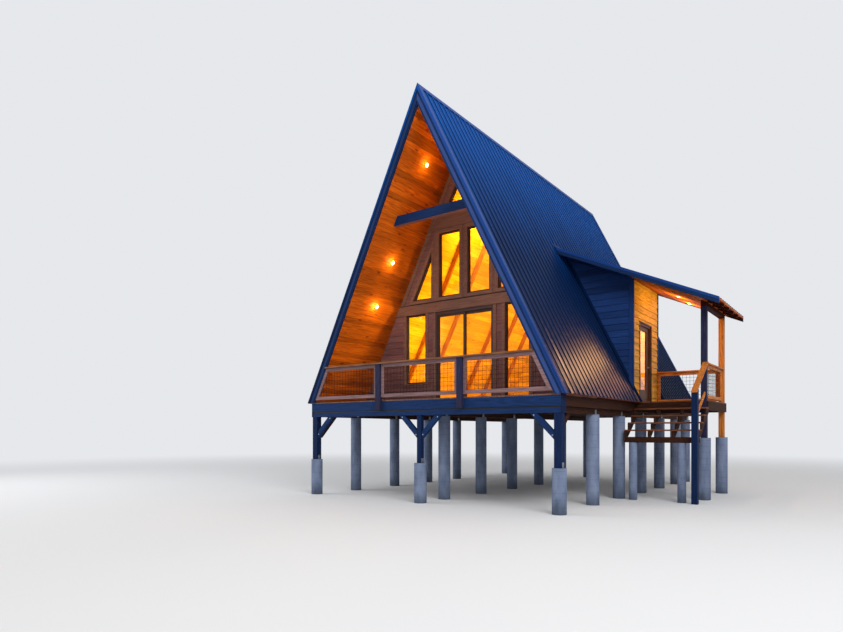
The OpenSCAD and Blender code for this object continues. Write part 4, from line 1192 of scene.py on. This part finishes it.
@dataclass
class Platform:
    """The deck, the floor and what carries them."""

    board_pitch: float = 0.1464
    board_gap: float = 0.005
    side_beam_x: float = 3.5
    beam_half: float = 0.07
    beam_low: float = -0.395
    rim_low: float = -0.255
    recess: float = 0.02
    pier_pitch: float = 1.8
    pier_rows: tuple[Flat, ...] = ((-3.5, 1.6), (0.0, 1.1), (3.5, 2.15))
    joists: tuple[float, ...] = (0.019, 0.415, 0.811, 1.207, 1.603, 1.98)
    screw: tuple[Flat, ...] = ((0.0, 0.0045), (0.001, 0.0045), (0.0016, 0.003))
    # Middle and half width of each front post, and foot and top of the shoes on them
    posts: tuple[Flat, ...] = ((-3.5775, 0.0825), (3.5775, 0.0825), (0.0, 0.06))
    shoe: Flat = (-1.55, -1.43)
    panel: float = 1.22

    def deck(self) -> None:
        """Deck boards that run back from the front edge, with a pair of screws at each joist."""
        wood, metal, margin = Solids(21), Solids(22), 0.025
        for i in range(round(2 * PLATFORM_HALF / self.board_pitch)):
            x0 = -PLATFORM_HALF + i * self.board_pitch
            x1 = x0 + self.board_pitch - self.board_gap
            wood.board((x0, 0.0, -0.03), (x1, WALL_Y, 0.0), 0.004)
            for y in self.joists:
                for x in (x0 + margin, x1 - margin):
                    metal.turned(Vector((x, y, -0.0006)), Z, self.screw, 8)
        wood.piece("deck_planks", "deck_timber", DECK(Grain.Y), replaced=("deck_boards",))
        metal.piece("deck_screws", "brushed_metal", GALVANISED())

    def saddles(self) -> None:
        """Steel saddles that hold the beams on the piers, and shoes that hold the front posts."""
        metal = Solids(23)
        low = self.beam_low
        places = [(x, y + self.pier_pitch * i) for x, y in self.pier_rows for i in range(5)]
        places += [(x, BACK_Y - 0.1725) for x, _ in self.pier_rows]
        for x, y in places:
            for side in (1, -1):
                edge, ys = x + side * self.beam_half, (y - 0.05, y + 0.05)
                metal.plate(side, edge, 0.006, ys, (low, low + 0.115))
                metal.plate(side, edge, 0.06, ys, (low, low + 0.006))
                for dy, dz in ((-0.025, 0.05), (0.025, 0.085)):
                    metal.bolt(Vector((edge + side * 0.006, y + dy, low + dz)), X * side, 0.011)
        for x, half in self.posts:
            middle = self.recess + half
            for side in (1, -1):
                edge = x + side * half
                metal.plate(side, edge, 0.005, (middle - 0.045, middle + 0.045), self.shoe)
                metal.bolt(Vector((edge + side * 0.005, middle, -1.48)), X * side, 0.011)
        metal.piece("steel_saddles", "brushed_metal", GALVANISED())

    def brace_bolts(self) -> None:
        """Bolts through the ends of the knee braces."""
        metal, y, size = Solids(24), self.recess + 0.025, 0.014
        for side in (1, -1):
            for post, away in ((3.495, -1), (0.06, 1)):
                for run, drop in ((0.47, 0.045), (0.045, 0.47)):
                    metal.bolt(Vector((side * (post + away * run), y, self.beam_low - drop)), -Y, size)
        metal.piece("brace_bolts", "brushed_metal", GALVANISED())

    def covers(self) -> None:
        """Boards at the front corners over the ends of rim and beam, and a painted shadow strip under the rim.
        """
        wood = Solids(26)
        for side in (1, -1):
            # The covers are darkened as painted shade, by the darker navy and a darker tone
            wood.plate(side, side * PLATFORM_HALF, 0.012, (0.0, 0.24), (self.beam_low, -0.001), 0.002, -0.4)
        # A dark strip between rim and beam paints the shadow line under the front rim
        wood.mark = 1
        wood.board((-PLATFORM_HALF, self.recess - 0.002, self.rim_low - 0.033),
                   (PLATFORM_HALF, self.recess + 0.001, self.rim_low - 0.0005), 0.0005, 0.0)
        wood.piece("corner_covers", "slate_paint", SHADED_NAVY(Grain.Y), GASKET())

    def underside(self) -> None:
        """Sheathing panels under the floor, between the beams."""
        wood = Solids(25)
        near, far = self.beam_half + 0.004, self.side_beam_x - self.beam_half - 0.004
        for x0, x1 in ((-far, -near), (near, far)):
            y = WALL_Y + 0.01
            while y < BACK_Y - 0.1:
                stop = min(y + self.panel, BACK_Y - 0.05)
                wood.board((x0, y, -0.263), (x1, stop - 0.006, -0.2552), 0.001)
                wood.board((x0, stop - 0.03, -0.28), (x1, stop + 0.024, -0.2632), 0.002)
                y = stop
        wood.piece("floor_sheathing", "deck_timber", SHADED_BROWN(Grain.X))

    def build(self) -> None:
        """Makes the platform's pieces."""
        self.deck()
        self.saddles()
        self.brace_bolts()
        self.covers()
        self.underside()
        dress("house_floor", FLOOR(Grain.Y), SHADED_BROWN(Grain.Y), rule=lambda c, n: int(n.z < 0.5))
        dress("deck_joists", SHADED_BROWN(Grain.X), ease=0.003)
        dress("rim_boards", NAVY(Grain.X), SHADED_BROWN(Grain.X), SHADED_BROWN(Grain.Y), ease=0.003,
              rule=lambda c, n: 0 if c.y < 0.04 else 1 if abs(c.x) < 3.6 else 2)
        dress("beams", NAVY(Grain.X), SHADED_BROWN(Grain.Y), rule=beyond(Y, 0.161), ease=0.004)
        dress("piers", CONCRETE(), ease=0.008)
        dress("front_posts", SHADED_NAVY(Grain.Z), ease=0.006)
        dress("knee_braces", NAVY(Grain.X), SHADED_BROWN(Grain.Y), rule=beyond(Y, 0.18), ease=0.005)


@dataclass
class MeshPanel:
    """A mitred frame round a welded wire mesh."""

    name: str
    outline: list[Flat]
    place: Place
    wood: Timber
    replaced: str
    bar: float = 0.085
    half_thick: float = 0.019

    def build(self, cap: Sequence[Sequence[float]] | None = None, grain: Grain = Grain.X) -> None:
        """Makes the panel.

        Args:
            cap: lowest and highest corner of a handrail over it.
            grain: direction of the handrail.
        """
        work = Solids(len(self.name) + int(100 * self.outline[0][0]))
        work.framed(self.outline, self.bar, self.place, -self.half_thick, self.half_thick)
        work.mark = 1
        work.wires(self.outline, self.bar, self.place)
        work.mark = 2
        if cap:
            work.board(*cap, 0.005)
        wood = self.wood(grain)
        work.piece(self.name, "deck_timber", wood, WIRE(), wood, replaced=(self.replaced,))


@dataclass
class FrontRailing:
    """Posts, handrail and mesh panels at the deck's front."""

    middle_y: float = -0.0225
    low: float = 0.065
    under: float = 0.902
    post_gap: Flat = (1.145, 1.295)
    end_depth: float = 0.235

    def build(self) -> None:
        """Dresses the posts and the handrail, and makes the panels."""
        dress("front_rail", POST(Grain.Z), CAP(Grain.X), ease=0.005, rule=lambda c, n: int(
            c.z > self.under + 0.0005 or (c.z > self.under - 0.002 and n.z < -0.5)))
        near, far = self.post_gap
        foot, top = (GABLE.half_at(self.end_depth, z) for z in (self.low, self.under))
        side = [(far, self.low), (foot, self.low), (top, self.under), (far, self.under)]
        middle = box_outline(-near, self.low, near, self.under)
        for part, outline in (("left", mirrored(side)), ("middle", middle), ("right", side)):
            MeshPanel(f"mesh_panel_{part}", outline, on_wall(self.middle_y), RAIL_BROWN,
                      f"rail_panel_{part}").build()


@dataclass
class Openings:
    """Outlines of the windows in both gable walls."""

    head: float = 2.49
    upper_sill: float = 2.88
    slider_half: float = 0.91

    def __post_init__(self) -> None:
        """Works out the outlines."""
        steep, sill = tan(SLOPE), self.upper_sill
        self.left = box_outline(-1.94, 0.55, -1.25, self.head)
        self.right = box_outline(1.25, 0.09, 1.94, self.head)
        self.slider = box_outline(-self.slider_half, 0.0, self.slider_half, self.head)
        tall = box_outline(0.12, sill, 0.8, 4.64)
        corner = [(1.05, sill), (1.7, sill), (1.05, sill + 0.65 * steep)]
        apex = [(-0.5, 5.38), (0.5, 5.38), (0.0, 5.38 + 0.5 * steep)]
        self.front = [tall, mirrored(tall), corner, mirrored(corner), apex, self.left, self.right]
        self.back = [self.left, mirrored(self.left), tall, mirrored(tall)]


@dataclass
class GableWalls:
    """The front and back walls with siding, casings, sashes and glass."""

    openings: Openings = field(default_factory=Openings)
    casing: float = 0.09
    casing_out: float = 0.03
    hide: float = 0.05

    def siding(self) -> None:
        """Lapped boards: beside the lower windows at the front, and over the whole back."""
        o, front, back = self.openings, on_wall(WALL_Y), on_wall(BACK_Y, 1)
        for seed, name, top, holes, place in ((31, "front", o.head, (o.left, o.right, o.slider), front),
                                              (32, "back", GABLE.ridge, o.back, back)):
            wood = Solids(seed)
            wood.lapped(GABLE.outline(0.0, top), [inset(w, -self.hide) for w in holes], place)
            wood.piece(f"{name}_siding", "umber_paint", UMBER(Grain.X))

    def casings(self) -> None:
        """Flat boards round the openings, with sills, the broad band and the boards that follow the roof."""
        o, wood = self.openings, Solids(33)
        face, wide = on_wall(WALL_Y), self.casing
        for window in o.front:
            wood.framed(inset(window, -wide), wide, face, 0.0, self.casing_out)
        for x0, x1 in ((-o.slider_half - wide, -o.slider_half), (o.slider_half, o.slider_half + wide)):
            wood.board((x0, WALL_Y - self.casing_out, 0.0), (x1, WALL_Y, o.head), 0.004)
        # The band's upper edge stands off the sills by an open joint, and a dark strip in it paints its shadow
        for low, high, out, wood.mark in ((o.head, 2.754, 0.048, 0), (2.754, 2.786, 0.005, 1)):
            wood.slab(GABLE.outline(low, high), face, (0.0, out), 0.1)
        wood.mark = 0
        for x, half in ((0.0, 0.03), (0.925, 0.035), (-0.925, 0.035)):
            wood.board((x - half, WALL_Y - 0.024, 2.79), (x + half, WALL_Y, 4.72))
        for low, high, out in ((4.735, 4.93, 0.036), (4.935, 5.285, 0.02)):
            wood.slab(GABLE.outline(low, high), face, (0.0, out), -0.1)
        for side in (1, -1):
            flat = [(side * GABLE.half_at(GABLE.inside + depth, z), z)
                    for depth, z in box_outline(0.0, 2.79, 0.12, 6.78)]
            wood.slab(flat, face, (0.0, 0.022))
        for window in (o.left, o.right):
            (x0, z), (x1, _) = window[:2]
            wood.board((x0 - 0.1, WALL_Y - 0.055, z - 0.035), (x1 + 0.1, WALL_Y - 0.001, z - 0.001), 0.004)
        for window in o.back:
            wood.framed(inset(window, -wide), wide, on_wall(BACK_Y, 1), 0.0, self.casing_out)
        wood.piece("wall_casings", "umber_paint", CASING(Grain.X), GASKET())

    def glazing(self) -> None:
        """Dark beads that hold the panes."""
        seal = Solids(34)
        for windows, place in ((self.openings.front, on_wall(WALL_Y + 0.05)),
                               (self.openings.back, on_wall(BACK_Y - 0.05, 1))):
            for window in windows:
                seal.framed(inset(window, 0.03), 0.014, place, -0.012, 0.012, 0.003)
        seal.piece("glazing_beads", "umber_paint", GASKET())

    def build(self) -> None:
        """Makes the walls' pieces."""
        self.siding()
        self.casings()
        self.glazing()
        for node in ("front_wall_left", "front_wall_right", "front_wall_upper", "back_wall"):
            dress(node, UMBER(Grain.X), INNER(Grain.X), rule=facing(-Y if node == "back_wall" else Y))
        dress("window_frames", SASH(), ease=0.003)
        dress("window_panes", GLASS())


@dataclass
class SlidingDoor:
    """The sliding door in the front wall."""

    fixed_y: float = 2.038
    moving_y: float = 2.084
    leaf_thick: float = 0.04
    stile: float = 0.058
    bead: float = 0.011
    fixed: Corners = (-0.865, 0.03, 0.03, 2.415)
    moving: Corners = (-0.035, 0.035, 0.86, 2.41)

    def build(self) -> None:
        """Makes the rubber round both panes, and dresses the door."""
        for leaf, corners, y, body in (("fixed", self.fixed, self.fixed_y, Body.CABIN),
                                       ("moving", self.moving, self.moving_y, Body.SLIDING_LEAF)):
            seal, place = Solids(41), on_wall(y + self.leaf_thick / 2)
            pane = inset(box_outline(*corners), self.stile)
            seal.framed(pane, self.bead, place, -self.bead, self.bead, 0.002)
            seal.piece(f"{leaf}_leaf_seal", "slate_paint", GASKET(), body=body)
        dress("slider_frame", SLIDER(), JAMB(), ease=0.002,
              rule=lambda c, n: int(abs(c.x) > 0.868 or c.z > 2.418))
        dress("slider_leaf", SLIDER(), ease=0.003)
        dress("slider_pane", GLASS())
        dress("slider_handle", BRUSHED())


@dataclass
class Dormer:
    """The dormer's flanks, entry wall, roof and flashings."""

    door_y0: float = 5.355
    door_y1: float = 6.365
    door_h: float = 2.21
    corner: float = 0.09
    edge: float = 0.045
    lip: float = 0.03
    under: float = 0.152
    board_width: float = 0.118
    board_thick: float = 0.01
    last_board: float = 5.2
    rib_first: float = 4.27
    rib_pitch: float = 0.24
    rib_count: int = 14
    screw_rows: int = 5

    def on_roof(self, x: float) -> float:
        """Height of the main roof's outer face at a distance from the ridge line."""
        return (GABLE.half_at(0.0) - x) * tan(SLOPE)

    def siding(self) -> None:
        """Lapped boards on both flanks and on the entry wall."""
        outer = SHED.entry_x - self.corner + 0.02
        flank = [(outer, self.on_roof(outer + 0.012)), (outer, SHED.height(outer, self.under)),
                 SHED.meet(self.under)]
        wood = Solids(51)
        for place in (on_wall(SHED.wall_front), on_wall(SHED.wall_back, 1)):
            wood.lapped(flank, [], place, 0.024)
        wood.piece("dormer_siding", "slate_paint", SLATE(Grain.X))
        wood, gap = Solids(52), 0.025
        top = SHED.height(SHED.entry_x + 0.02, self.under)
        wall = box_outline(SHED.wall_front + gap, 0.0, SHED.wall_back - gap, top)
        door = box_outline(self.door_y0 - gap, -0.1, self.door_y1 + gap, self.door_h + gap)
        wood.lapped(wall, [door], on_side(SHED.entry_x), 0.024)
        wood.piece("entry_siding", "pine_boards", PINE(Grain.Y))

    def trims(self) -> None:
        """Corner boards and the casing of the entry door."""
        blue, dark = Solids(53), Solids(54)
        inner, outer = SHED.entry_x - self.corner, SHED.entry_x + self.lip
        corners = [(inner, self.on_roof(inner) + 0.002), (outer, self.on_roof(outer) + 0.002),
                   (outer, SHED.height(outer, self.under)), (inner, SHED.height(inner, self.under))]
        for y, way in ((SHED.wall_front, -1), (SHED.wall_back, 1)):
            blue.slab(corners, SECTION, sorted((y, y + way * self.lip)))
        high = SHED.height(outer, self.under) - 0.004
        for y in (SHED.wall_front, SHED.wall_back - self.edge):
            blue.board((SHED.entry_x, y, 0.0), (outer, y + self.edge, high), 0.004, 0.0)
        y0, y1, top, edge = self.door_y0, self.door_y1, self.door_h, self.edge
        for ya, za, yb, zb in ((y0 - edge, 0.0, y0, top), (y1, 0.0, y1 + edge, top),
                               (y0 - edge, top + 0.001, y1 + edge, top + edge)):
            dark.board((SHED.entry_x, ya, za), (outer, yb, zb), 0.004)
        blue.piece("corner_boards", "slate_paint", SLATE(Grain.Z), replaced=("trim_boards",))
        dark.piece("entry_casing", "umber_paint", DOOR_WOOD(Grain.Z))

    def flashings(self) -> None:
        """Bent steel where the flanks and the dormer's roof meet the main roof, and on its rakes."""
        metal = Solids(55)
        metal.mark = 1
        run_top = SHED.meet(SHED.thick)[1] / sin(SLOPE)
        for y, way in ((SHED.wall_front, -1), (SHED.wall_back, 1)):
            near, bent, far = (y + way * out for out in (0.0245, 0.027, 0.06))
            for run, flat in ((run_top, ((0.0015, near), (0.0015, far), (-0.002, far), (-0.002, near))),
                              (run_top - 0.1, ((0.0, near), (0.0, bent), (-0.06, bent), (-0.06, near)))):
                ring = [GABLE.on_slope(1, depth, 0.0, v) for depth, v in flat]
                metal.loft([ring, [p + GABLE.up(1) * run for p in ring]], 0.0)
        x_head, z_head = SHED.meet(0.0)
        bend, out = Vector((x_head, SHED.front, z_head)), Vector((0.002, 0.0, 0.003))
        for way in (GABLE.up(1), SHED_DOWN):
            tip = bend + way * 0.1
            ring = (bend, tip, tip + out, bend + out)
            metal.loft([ring, [p + Y * (SHED.back - SHED.front) for p in ring]], 0.0)
        metal.mark, low = 0, 0.066
        for y, way in ((SHED.front, -1), (SHED.back, 1)):
            for top, thick in ((0.0, 0.0025), (0.054, 0.008)):
                flat = ((x_head + 0.01, top), (x_head + 0.06, low), (SHED.eave_x, low), (SHED.eave_x, top))
                metal.slab([(x, SHED.height(x, depth)) for x, depth in flat], SECTION, (y, y + way * thick))
        metal.piece("dormer_flashings", "metal_roof", TRIM_STEEL(Grain.SHED), ROOF_EDGE(Grain.RIGHT))

    def lay(self, wood: Solids, x: float, width: float, spans: Iterable[Flat]) -> None:
        """Lays a course of boards under the dormer's roof.

        Args:
            wood: solids that take it.
            x: distance of its middle from the ridge line.
            width: its width.
            spans: start and end of each board.
        """
        point = Vector((x, 0.0, SHED.height(x, SHED.thick + self.board_thick / 2 + 0.0005)))
        for a, b in spans:
            wood.bar(point + Y * a, point + Y * b, SHED_DOWN, width, self.board_thick)

    def soffit(self) -> None:
        """Boards under the dormer's roof, over the porch and the overhangs."""
        wood, width = Solids(56), self.board_width - 0.001
        y0, y1 = SHED.front + 0.042, SHED.back - 0.042
        x = SHED.meet(SHED.thick + 0.02)[0] + 0.09
        while x < self.last_board:
            wood.mark = int(x < SHED.entry_x)
            if x > SHED.entry_x + 0.1:
                self.lay(wood, x, width, [(y0, y1)])
            elif x <= SHED.entry_x - 0.06:
                self.lay(wood, x, width, [(y0, SHED.wall_front - 0.021), (SHED.wall_back + 0.021, y1)])
            x += self.board_width * cos(SHED_PITCH)
        wood.mark = 1
        self.lay(wood, SHED.entry_x, 0.2, [(y0, SHED.wall_front - 0.032), (SHED.wall_back + 0.032, y1)])
        wood.piece("porch_soffit", "pine_boards", SOFFIT(Grain.Y), SLATE(Grain.Y))

    def screws(self) -> None:
        """Screws on the ribs of the dormer's roof."""
        metal, size = Solids(57), 0.0075
        first, last = SHED.meet(0.0)[0] + 0.25, SHED.eave_x - 0.08
        for i in range(self.rib_count):
            y = self.rib_first + self.rib_pitch * i
            for row in range(self.screw_rows):
                x = first + (last - first) * row / (self.screw_rows - 1)
                metal.bolt(Vector((x, y, SHED.height(x, 0.0005))), SHED_OUT, size)
        metal.piece("dormer_screws", "metal_roof", TRIM_STEEL(Grain.SHED))

    def build(self) -> None:
        """Makes the dormer's pieces."""
        self.siding()
        self.trims()
        self.flashings()
        self.soffit()
        self.screws()
        for part, inwards in (("front", Y), ("back", -Y)):
            dress(f"dormer_flank_{part}", SLATE(Grain.X), INNER(Grain.X), rule=facing(inwards))
        for part in ("front", "back", "head"):
            dress(f"entry_wall_{part}", PINE(Grain.Y), INNER(Grain.Y), rule=facing(-X))
        dress("dormer_roof", SOFFIT(Grain.Y))
        dress("dormer_roofing", SHED_ROOF(Grain.SHED), ease=0.003)
        dress("rafter_tails", TAIL(Grain.SHED), ease=0.003)


@dataclass
class EntryDoor:
    """The hinged door under the porch."""

    glass: Corners = (5.58, 0.365, 6.14, 2.055)
    leaf_x: float = 3.494
    leaf_thick: float = 0.045
    sill_x: float = 3.547
    sill_rib: float = 0.005
    sill_pitch: float = 0.009
    sill_ribs: int = 4

    def build(self) -> None:
        """Makes the beads round the glass on both faces and the ribbed sill, and dresses the door."""
        wood, metal = Solids(61), Solids(62)
        outline = inset(box_outline(*self.glass), -0.012)
        outside, inside = on_side(self.leaf_x + self.leaf_thick), on_side(self.leaf_x, -1)
        for place, out in ((outside, 0.004), (inside, 0.0035)):
            wood.framed(outline, 0.03, place, -0.004, out, 0.0015)
        wood.piece("door_mouldings", "umber_paint", DOOR_WOOD(Grain.Z), body=Body.ENTRY_LEAF)
        for i in range(self.sill_ribs):
            x = self.sill_x + self.sill_pitch * i
            metal.board((x, 5.41, 0.0802), (x + self.sill_rib, 6.31, 0.083), 0.001, 0.0)
        metal.piece("door_sill", "brushed_metal", GALVANISED(Grain.Y))
        for node in ("entry_frame", "entry_door"):
            # The hinges stand in front of the leaf's inner face
            dress(node, DOOR_WOOD(Grain.Z), BRUSHED(), rule=lambda c, n: int(c.x < 3.4935 and c.y < 5.435))
        dress("entry_pane", GLASS())
        dress("entry_handle", BRUSHED(Grain.Y))


@dataclass
class Porch:
    """The entry porch: deck, posts, beams and rails."""

    x0: float = 3.66
    post_in: float = 5.28
    post_out: float = 5.42
    edge: float = 5.46
    y0: float = 4.8
    y1: float = 7.04
    post: float = 0.14
    boards: int = 11
    thick: float = 0.03
    back_rail_y: float = 6.97
    side_rail_x: float = 5.35

    def deck(self) -> None:
        """Boards that run along the house, cut round the posts."""
        wood, gap = Solids(71), 0.002
        pitch = (self.post_in - self.x0) / self.boards
        edges = [self.x0 + i * pitch for i in range(self.boards + 1)]
        spans = [(a + gap, b - gap, 0.0) for a, b in zip(edges, edges[1:])]
        spans += [(self.post_in + gap, self.post_out - 0.001, self.post + 0.003),
                  (self.post_out + gap, self.edge, 0.0)]
        for x0, x1, cut in spans:
            wood.board((x0, self.y0 + cut, -self.thick), (x1, self.y1 - cut, 0.0), 0.004)
        wood.piece("porch_planks", "pine_boards", PORCH_BOARD(Grain.Y), replaced=("porch_deck",))

    def rails(self) -> None:
        """Handrails over mesh panels, at the back and at the outer side."""
        under, top, low = 0.922, 0.96, 0.06
        start, ya, yb = SHED.entry_x + 0.03, self.y0 + self.post, self.y1 - self.post
        back, side = on_wall(self.back_rail_y), on_side(self.side_rail_x)
        MeshPanel("porch_panel_back", box_outline(start, low, self.post_in, under), back, AMBER,
                  "porch_rail_back").build(((start, yb, under), (self.post_in, self.y1, top)))
        MeshPanel("porch_panel_side", box_outline(ya, low, yb, under), side, AMBER,
                  "porch_rail_side").build(((self.post_in, ya, under), (self.post_out, yb, top)), Grain.Y)

    def build(self) -> None:
        """Makes the porch's pieces."""
        self.deck()
        self.rails()
        dress("porch_frame", SHADED_BROWN(Grain.X), SHADED_BROWN(Grain.Y), rule=beyond(X, 5.41), ease=0.003)
        dress("porch_joists", SHADED_BROWN(Grain.X))
        # The front post takes the violet blue as painted shade, the back post the orange pine
        dress("porch_posts", POST(Grain.Z), AMBER(Grain.Z), rule=beyond(Y, 6.0), ease=0.006)
        dress("porch_beams", TAIL(Grain.Y), AMBER(Grain.X), rule=beyond(-X, -5.275), ease=0.004)


@dataclass
class Stair:
    """The open stair to the porch."""

    x0: float = 3.7
    x1: float = 5.47
    rise: float = 0.185
    run: float = 0.26
    thick: float = 0.038
    count: int = 4
    head_y: float = 4.8
    rail_h: float = 0.96
    rail_thick: float = 0.0385
    rail_fall: float = 0.78 / 1.18
    newel: Flat = (3.62, 3.76)

    def on_rail(self, middle: Vector, normal: Vector) -> int:
        """The first finish on the newel's sides under the handrail, and the second elsewhere.

        Args:
            middle: middle of a face in the house.
            normal: its normal.

        Returns:
            Number of the finish.
        """
        cap = self.rail_h - (self.head_y - middle.y) * self.rail_fall - self.rail_thick
        at_newel = self.newel[0] - 0.001 < middle.y < self.newel[1] + 0.001
        return int(middle.z > cap or not (at_newel and (middle.z < cap - 0.3 or abs(normal.y) < 0.9)))

    def build(self) -> None:
        """Makes two boards to a tread, and dresses the stair."""
        wood, half = Solids(81), self.run / 2
        for i in range(1, self.count + 1):
            y, z = self.head_y - i * self.run, -i * self.rise
            for j in range(2):
                wood.board((self.x0, y + j * half + 0.002, z - self.thick),
                           (self.x1, y + (j + 1) * half - 0.002, z), 0.005)
        wood.piece("tread_boards", "pine_boards", PORCH_BOARD(Grain.X), replaced=("stair_treads",))
        dress("stair_stringers", SHADED_BROWN(Grain.Y), ease=0.003)
        # The newel's sides under the handrail take the darker navy as painted shade over the pine
        dress("stair_rail", SHADED_NAVY(Grain.Z), AMBER(Grain.Y), rule=self.on_rail, ease=0.005)


def add_object(name: str, data: Any, place: Sequence[float] = (0.0, 0.0, 0.0)) -> bpy.types.Object:
    """Puts a thing of the studio in the scene.

    Args:
        name: its name.
        data: its mesh, light or camera.
        place: its place in the row frame.

    Returns:
        The object.
    """
    obj = bpy.data.objects.new(name, data)
    obj.location = place
    bpy.context.scene.collection.objects.link(obj)
    return obj


def glow(name: str, place: Vector, watts: float, colour: Sequence[float], radius: float,
         seen_by: bpy.types.Collection | None = None) -> None:
    """A warm point light that is not seen itself.

    Args:
        name: name of the light.
        place: its middle in the house.
        watts: its power.
        colour: its colour in linear light.
        radius: its radius, which softens shadows.
        seen_by: objects that mirror it, where it is only mirrored and lights nothing.
    """
    data = bpy.data.lights.new(name, "POINT")
    data.energy = watts
    data.color = colour
    data.shadow_soft_size = radius
    light = add_object(name, data, ORIGIN + place)
    light.visible_camera = light.visible_transmission = False
    light.visible_glossy, light.visible_diffuse = bool(seen_by), not seen_by
    if seen_by:
        light.light_linking.receiver_collection = seen_by


@dataclass
class Lamps:
    """Round lamps let into the boards under both roofs."""

    radius: float = 0.062
    left: tuple[Triple, ...] = ((1.02, 6.09, 0.72), (1.06, 3.76, 1.0), (1.05, 2.64, 1.0))
    porch: tuple[Flat, ...] = ((4.52, 5.75), (4.56, 6.77))
    watts: float = 9.0
    porch_watts: float = 34.0
    gleam_watts: float = 400.0
    wall_watts: float = 100.0

    def one(self, work: Solids, centre: Vector, axis: Vector, watts: float, ahead: float) -> None:
        """A ring with a lens in it, and the light that it gives.

        Args:
            work: solids that take the ring and the lens.
            centre: middle of the ring on the boards.
            axis: direction in which it shines.
            watts: power of its light.
            ahead: how far its light leans to the front, out of its axis.
        """
        ring = ((-0.004, 1.0), (0.003, 1.0), (0.006, 0.93), (0.006, 0.8), (0.002, 0.76))
        lens = ((0.0, 0.74), (0.0035, 0.74), (0.006, 0.5), (0.0065, 0.1))
        for work.mark, profile in enumerate((ring, lens)):
            work.turned(centre, axis, [(rise, self.radius * share) for rise, share in profile], 32)
        glow("lamp_light", centre + axis * 0.13 - Y * ahead, watts, (1.0, 0.72, 0.32), 0.05)

    def build(self) -> None:
        """Makes all lamps as one piece."""
        work = Solids(91)
        for side in (1, -1):
            for y, z, share in self.left:
                centre = GABLE.on_slope(side, GABLE.lining_bottom, z / sin(SLOPE), y)
                self.one(work, centre, -GABLE.out(side), self.watts * share, 0.1)
        sheets = bpy.data.collections.new("roof_sheets")
        sheets.objects.link(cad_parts["roofing"])
        for x, y in self.porch:
            centre = Vector((x, y, SHED.height(x, SHED.thick + 0.0105)))
            self.one(work, centre, -SHED_OUT, self.porch_watts, 0.0)
            glow("lamp_gleam", centre - SHED_OUT * 0.3, self.gleam_watts, (1.0, 0.5, 0.17), 0.1, sheets)
        # The lit entry wall, as the roof's foot mirrors it
        glow("wall_gleam", Vector((4.2, 6.5, 1.5)), self.wall_watts, (1.0, 0.37, 0.16), 0.4, sheets)
        work.piece("can_lights", "brushed_metal", RING(), LENS())


@dataclass
class Studio:
    """Floor, light and camera."""

    camera_at: Triple = (7.941, -17.443, 1.723)
    camera_turn: float = 36.63
    lens: float = 26.49
    shift: float = 0.1369
    sky: float = 0.55
    large: tuple[tuple[str, Triple, float], ...] = (("key_lamp", (16.0, -16.0, 16.0), 2600.0),
                                                    ("fill_lamp", (-16.0, -14.0, 9.0), 900.0))
    lamp_size: float = 12.0
    aim: Triple = (0.0, 0.0, 4.5)
    # Power of a lamp in a room, and the place of each with its share of that power
    room: float = 122.0
    rooms: tuple[tuple[float, ...], ...] = (
        (-0.7, 3.1, 1.5, 1.35), (0.9, 6.4, 1.7, 0.7), (0.6, 9.2, 1.8, 0.9),
        (0.0, 3.8, 4.8, 1.3), (0.0, 8.0, 4.6, 0.8), (2.7, 5.9, 2.2, 1.0))
    floor_half: float = 150.0

    def floor(self) -> None:
        """A plain pale floor at the lowest ground."""
        half = self.floor_half
        mesh = bpy.data.meshes.new("studio_floor")
        mesh.from_pydata([(x, y, 0) for x, y in box_outline(-half, -half, half, half)], [], [(0, 1, 2, 3)])
        mesh.materials.append(StudioPaper("studio_floor")())
        obj = add_object("studio_floor", mesh)

    def world(self) -> None:
        """Even light from all round, behind which camera, gloss and glass see a pale ground."""
        world = bpy.data.worlds.new("studio")
        world.use_nodes = True
        world.node_tree.nodes.clear()
        add = partial(add_node, world.node_tree)
        light = add("Background", [(1.0, 1.0, 1.0, 1.0), self.sky])
        ground = add("Background", [linear(PALE), 1.0])
        add("OutputWorld", [add("MixShader", [shown(add), light, ground])])
        bpy.context.scene.world = world

    def lamps(self) -> None:
        """Two large soft lamps, and warm ones inside, as the photograph shows the rooms lit."""
        for name, place, watts in self.large:
            data = bpy.data.lights.new(name, "AREA")
            data.size = self.lamp_size
            data.energy = watts
            towards = Vector(self.aim) - Vector(place)
            add_object(name, data, place).rotation_euler = towards.to_track_quat("-Z", "Y").to_euler()
        for *place, share in self.rooms:
            glow("room_light", Vector(place), self.room * share, (1.0, 0.95, 0.32), 0.25)

    def camera(self) -> None:
        """The camera at the photograph's place, with upright lines kept upright by its shift."""
        data = bpy.data.cameras.new("camera")
        data.sensor_width = 36.0
        data.sensor_fit = "HORIZONTAL"
        data.lens = self.lens
        data.shift_y = self.shift
        data.clip_end = 500.0
        obj = add_object("camera", data, self.camera_at)
        obj.rotation_euler = (pi / 2, 0.0, radians(self.camera_turn))
        bpy.context.scene.camera = obj

    def build(self) -> None:
        """Makes the studio."""
        self.floor()
        self.world()
        self.lamps()
        self.camera()
        bpy.context.scene.view_settings.view_transform = "Standard"


def main() -> None:
    """Builds the cabin and the studio."""
    logging.basicConfig(level=logging.INFO, format="%(message)s")
    for part in (MainRoof(), RoofLining(), Platform(), FrontRailing(), GableWalls(), SlidingDoor(), Dormer(),
                 EntryDoor(), Porch(), Stair(), Lamps(), Studio()):
        part.build()


if __name__ == "__main__":
    main()
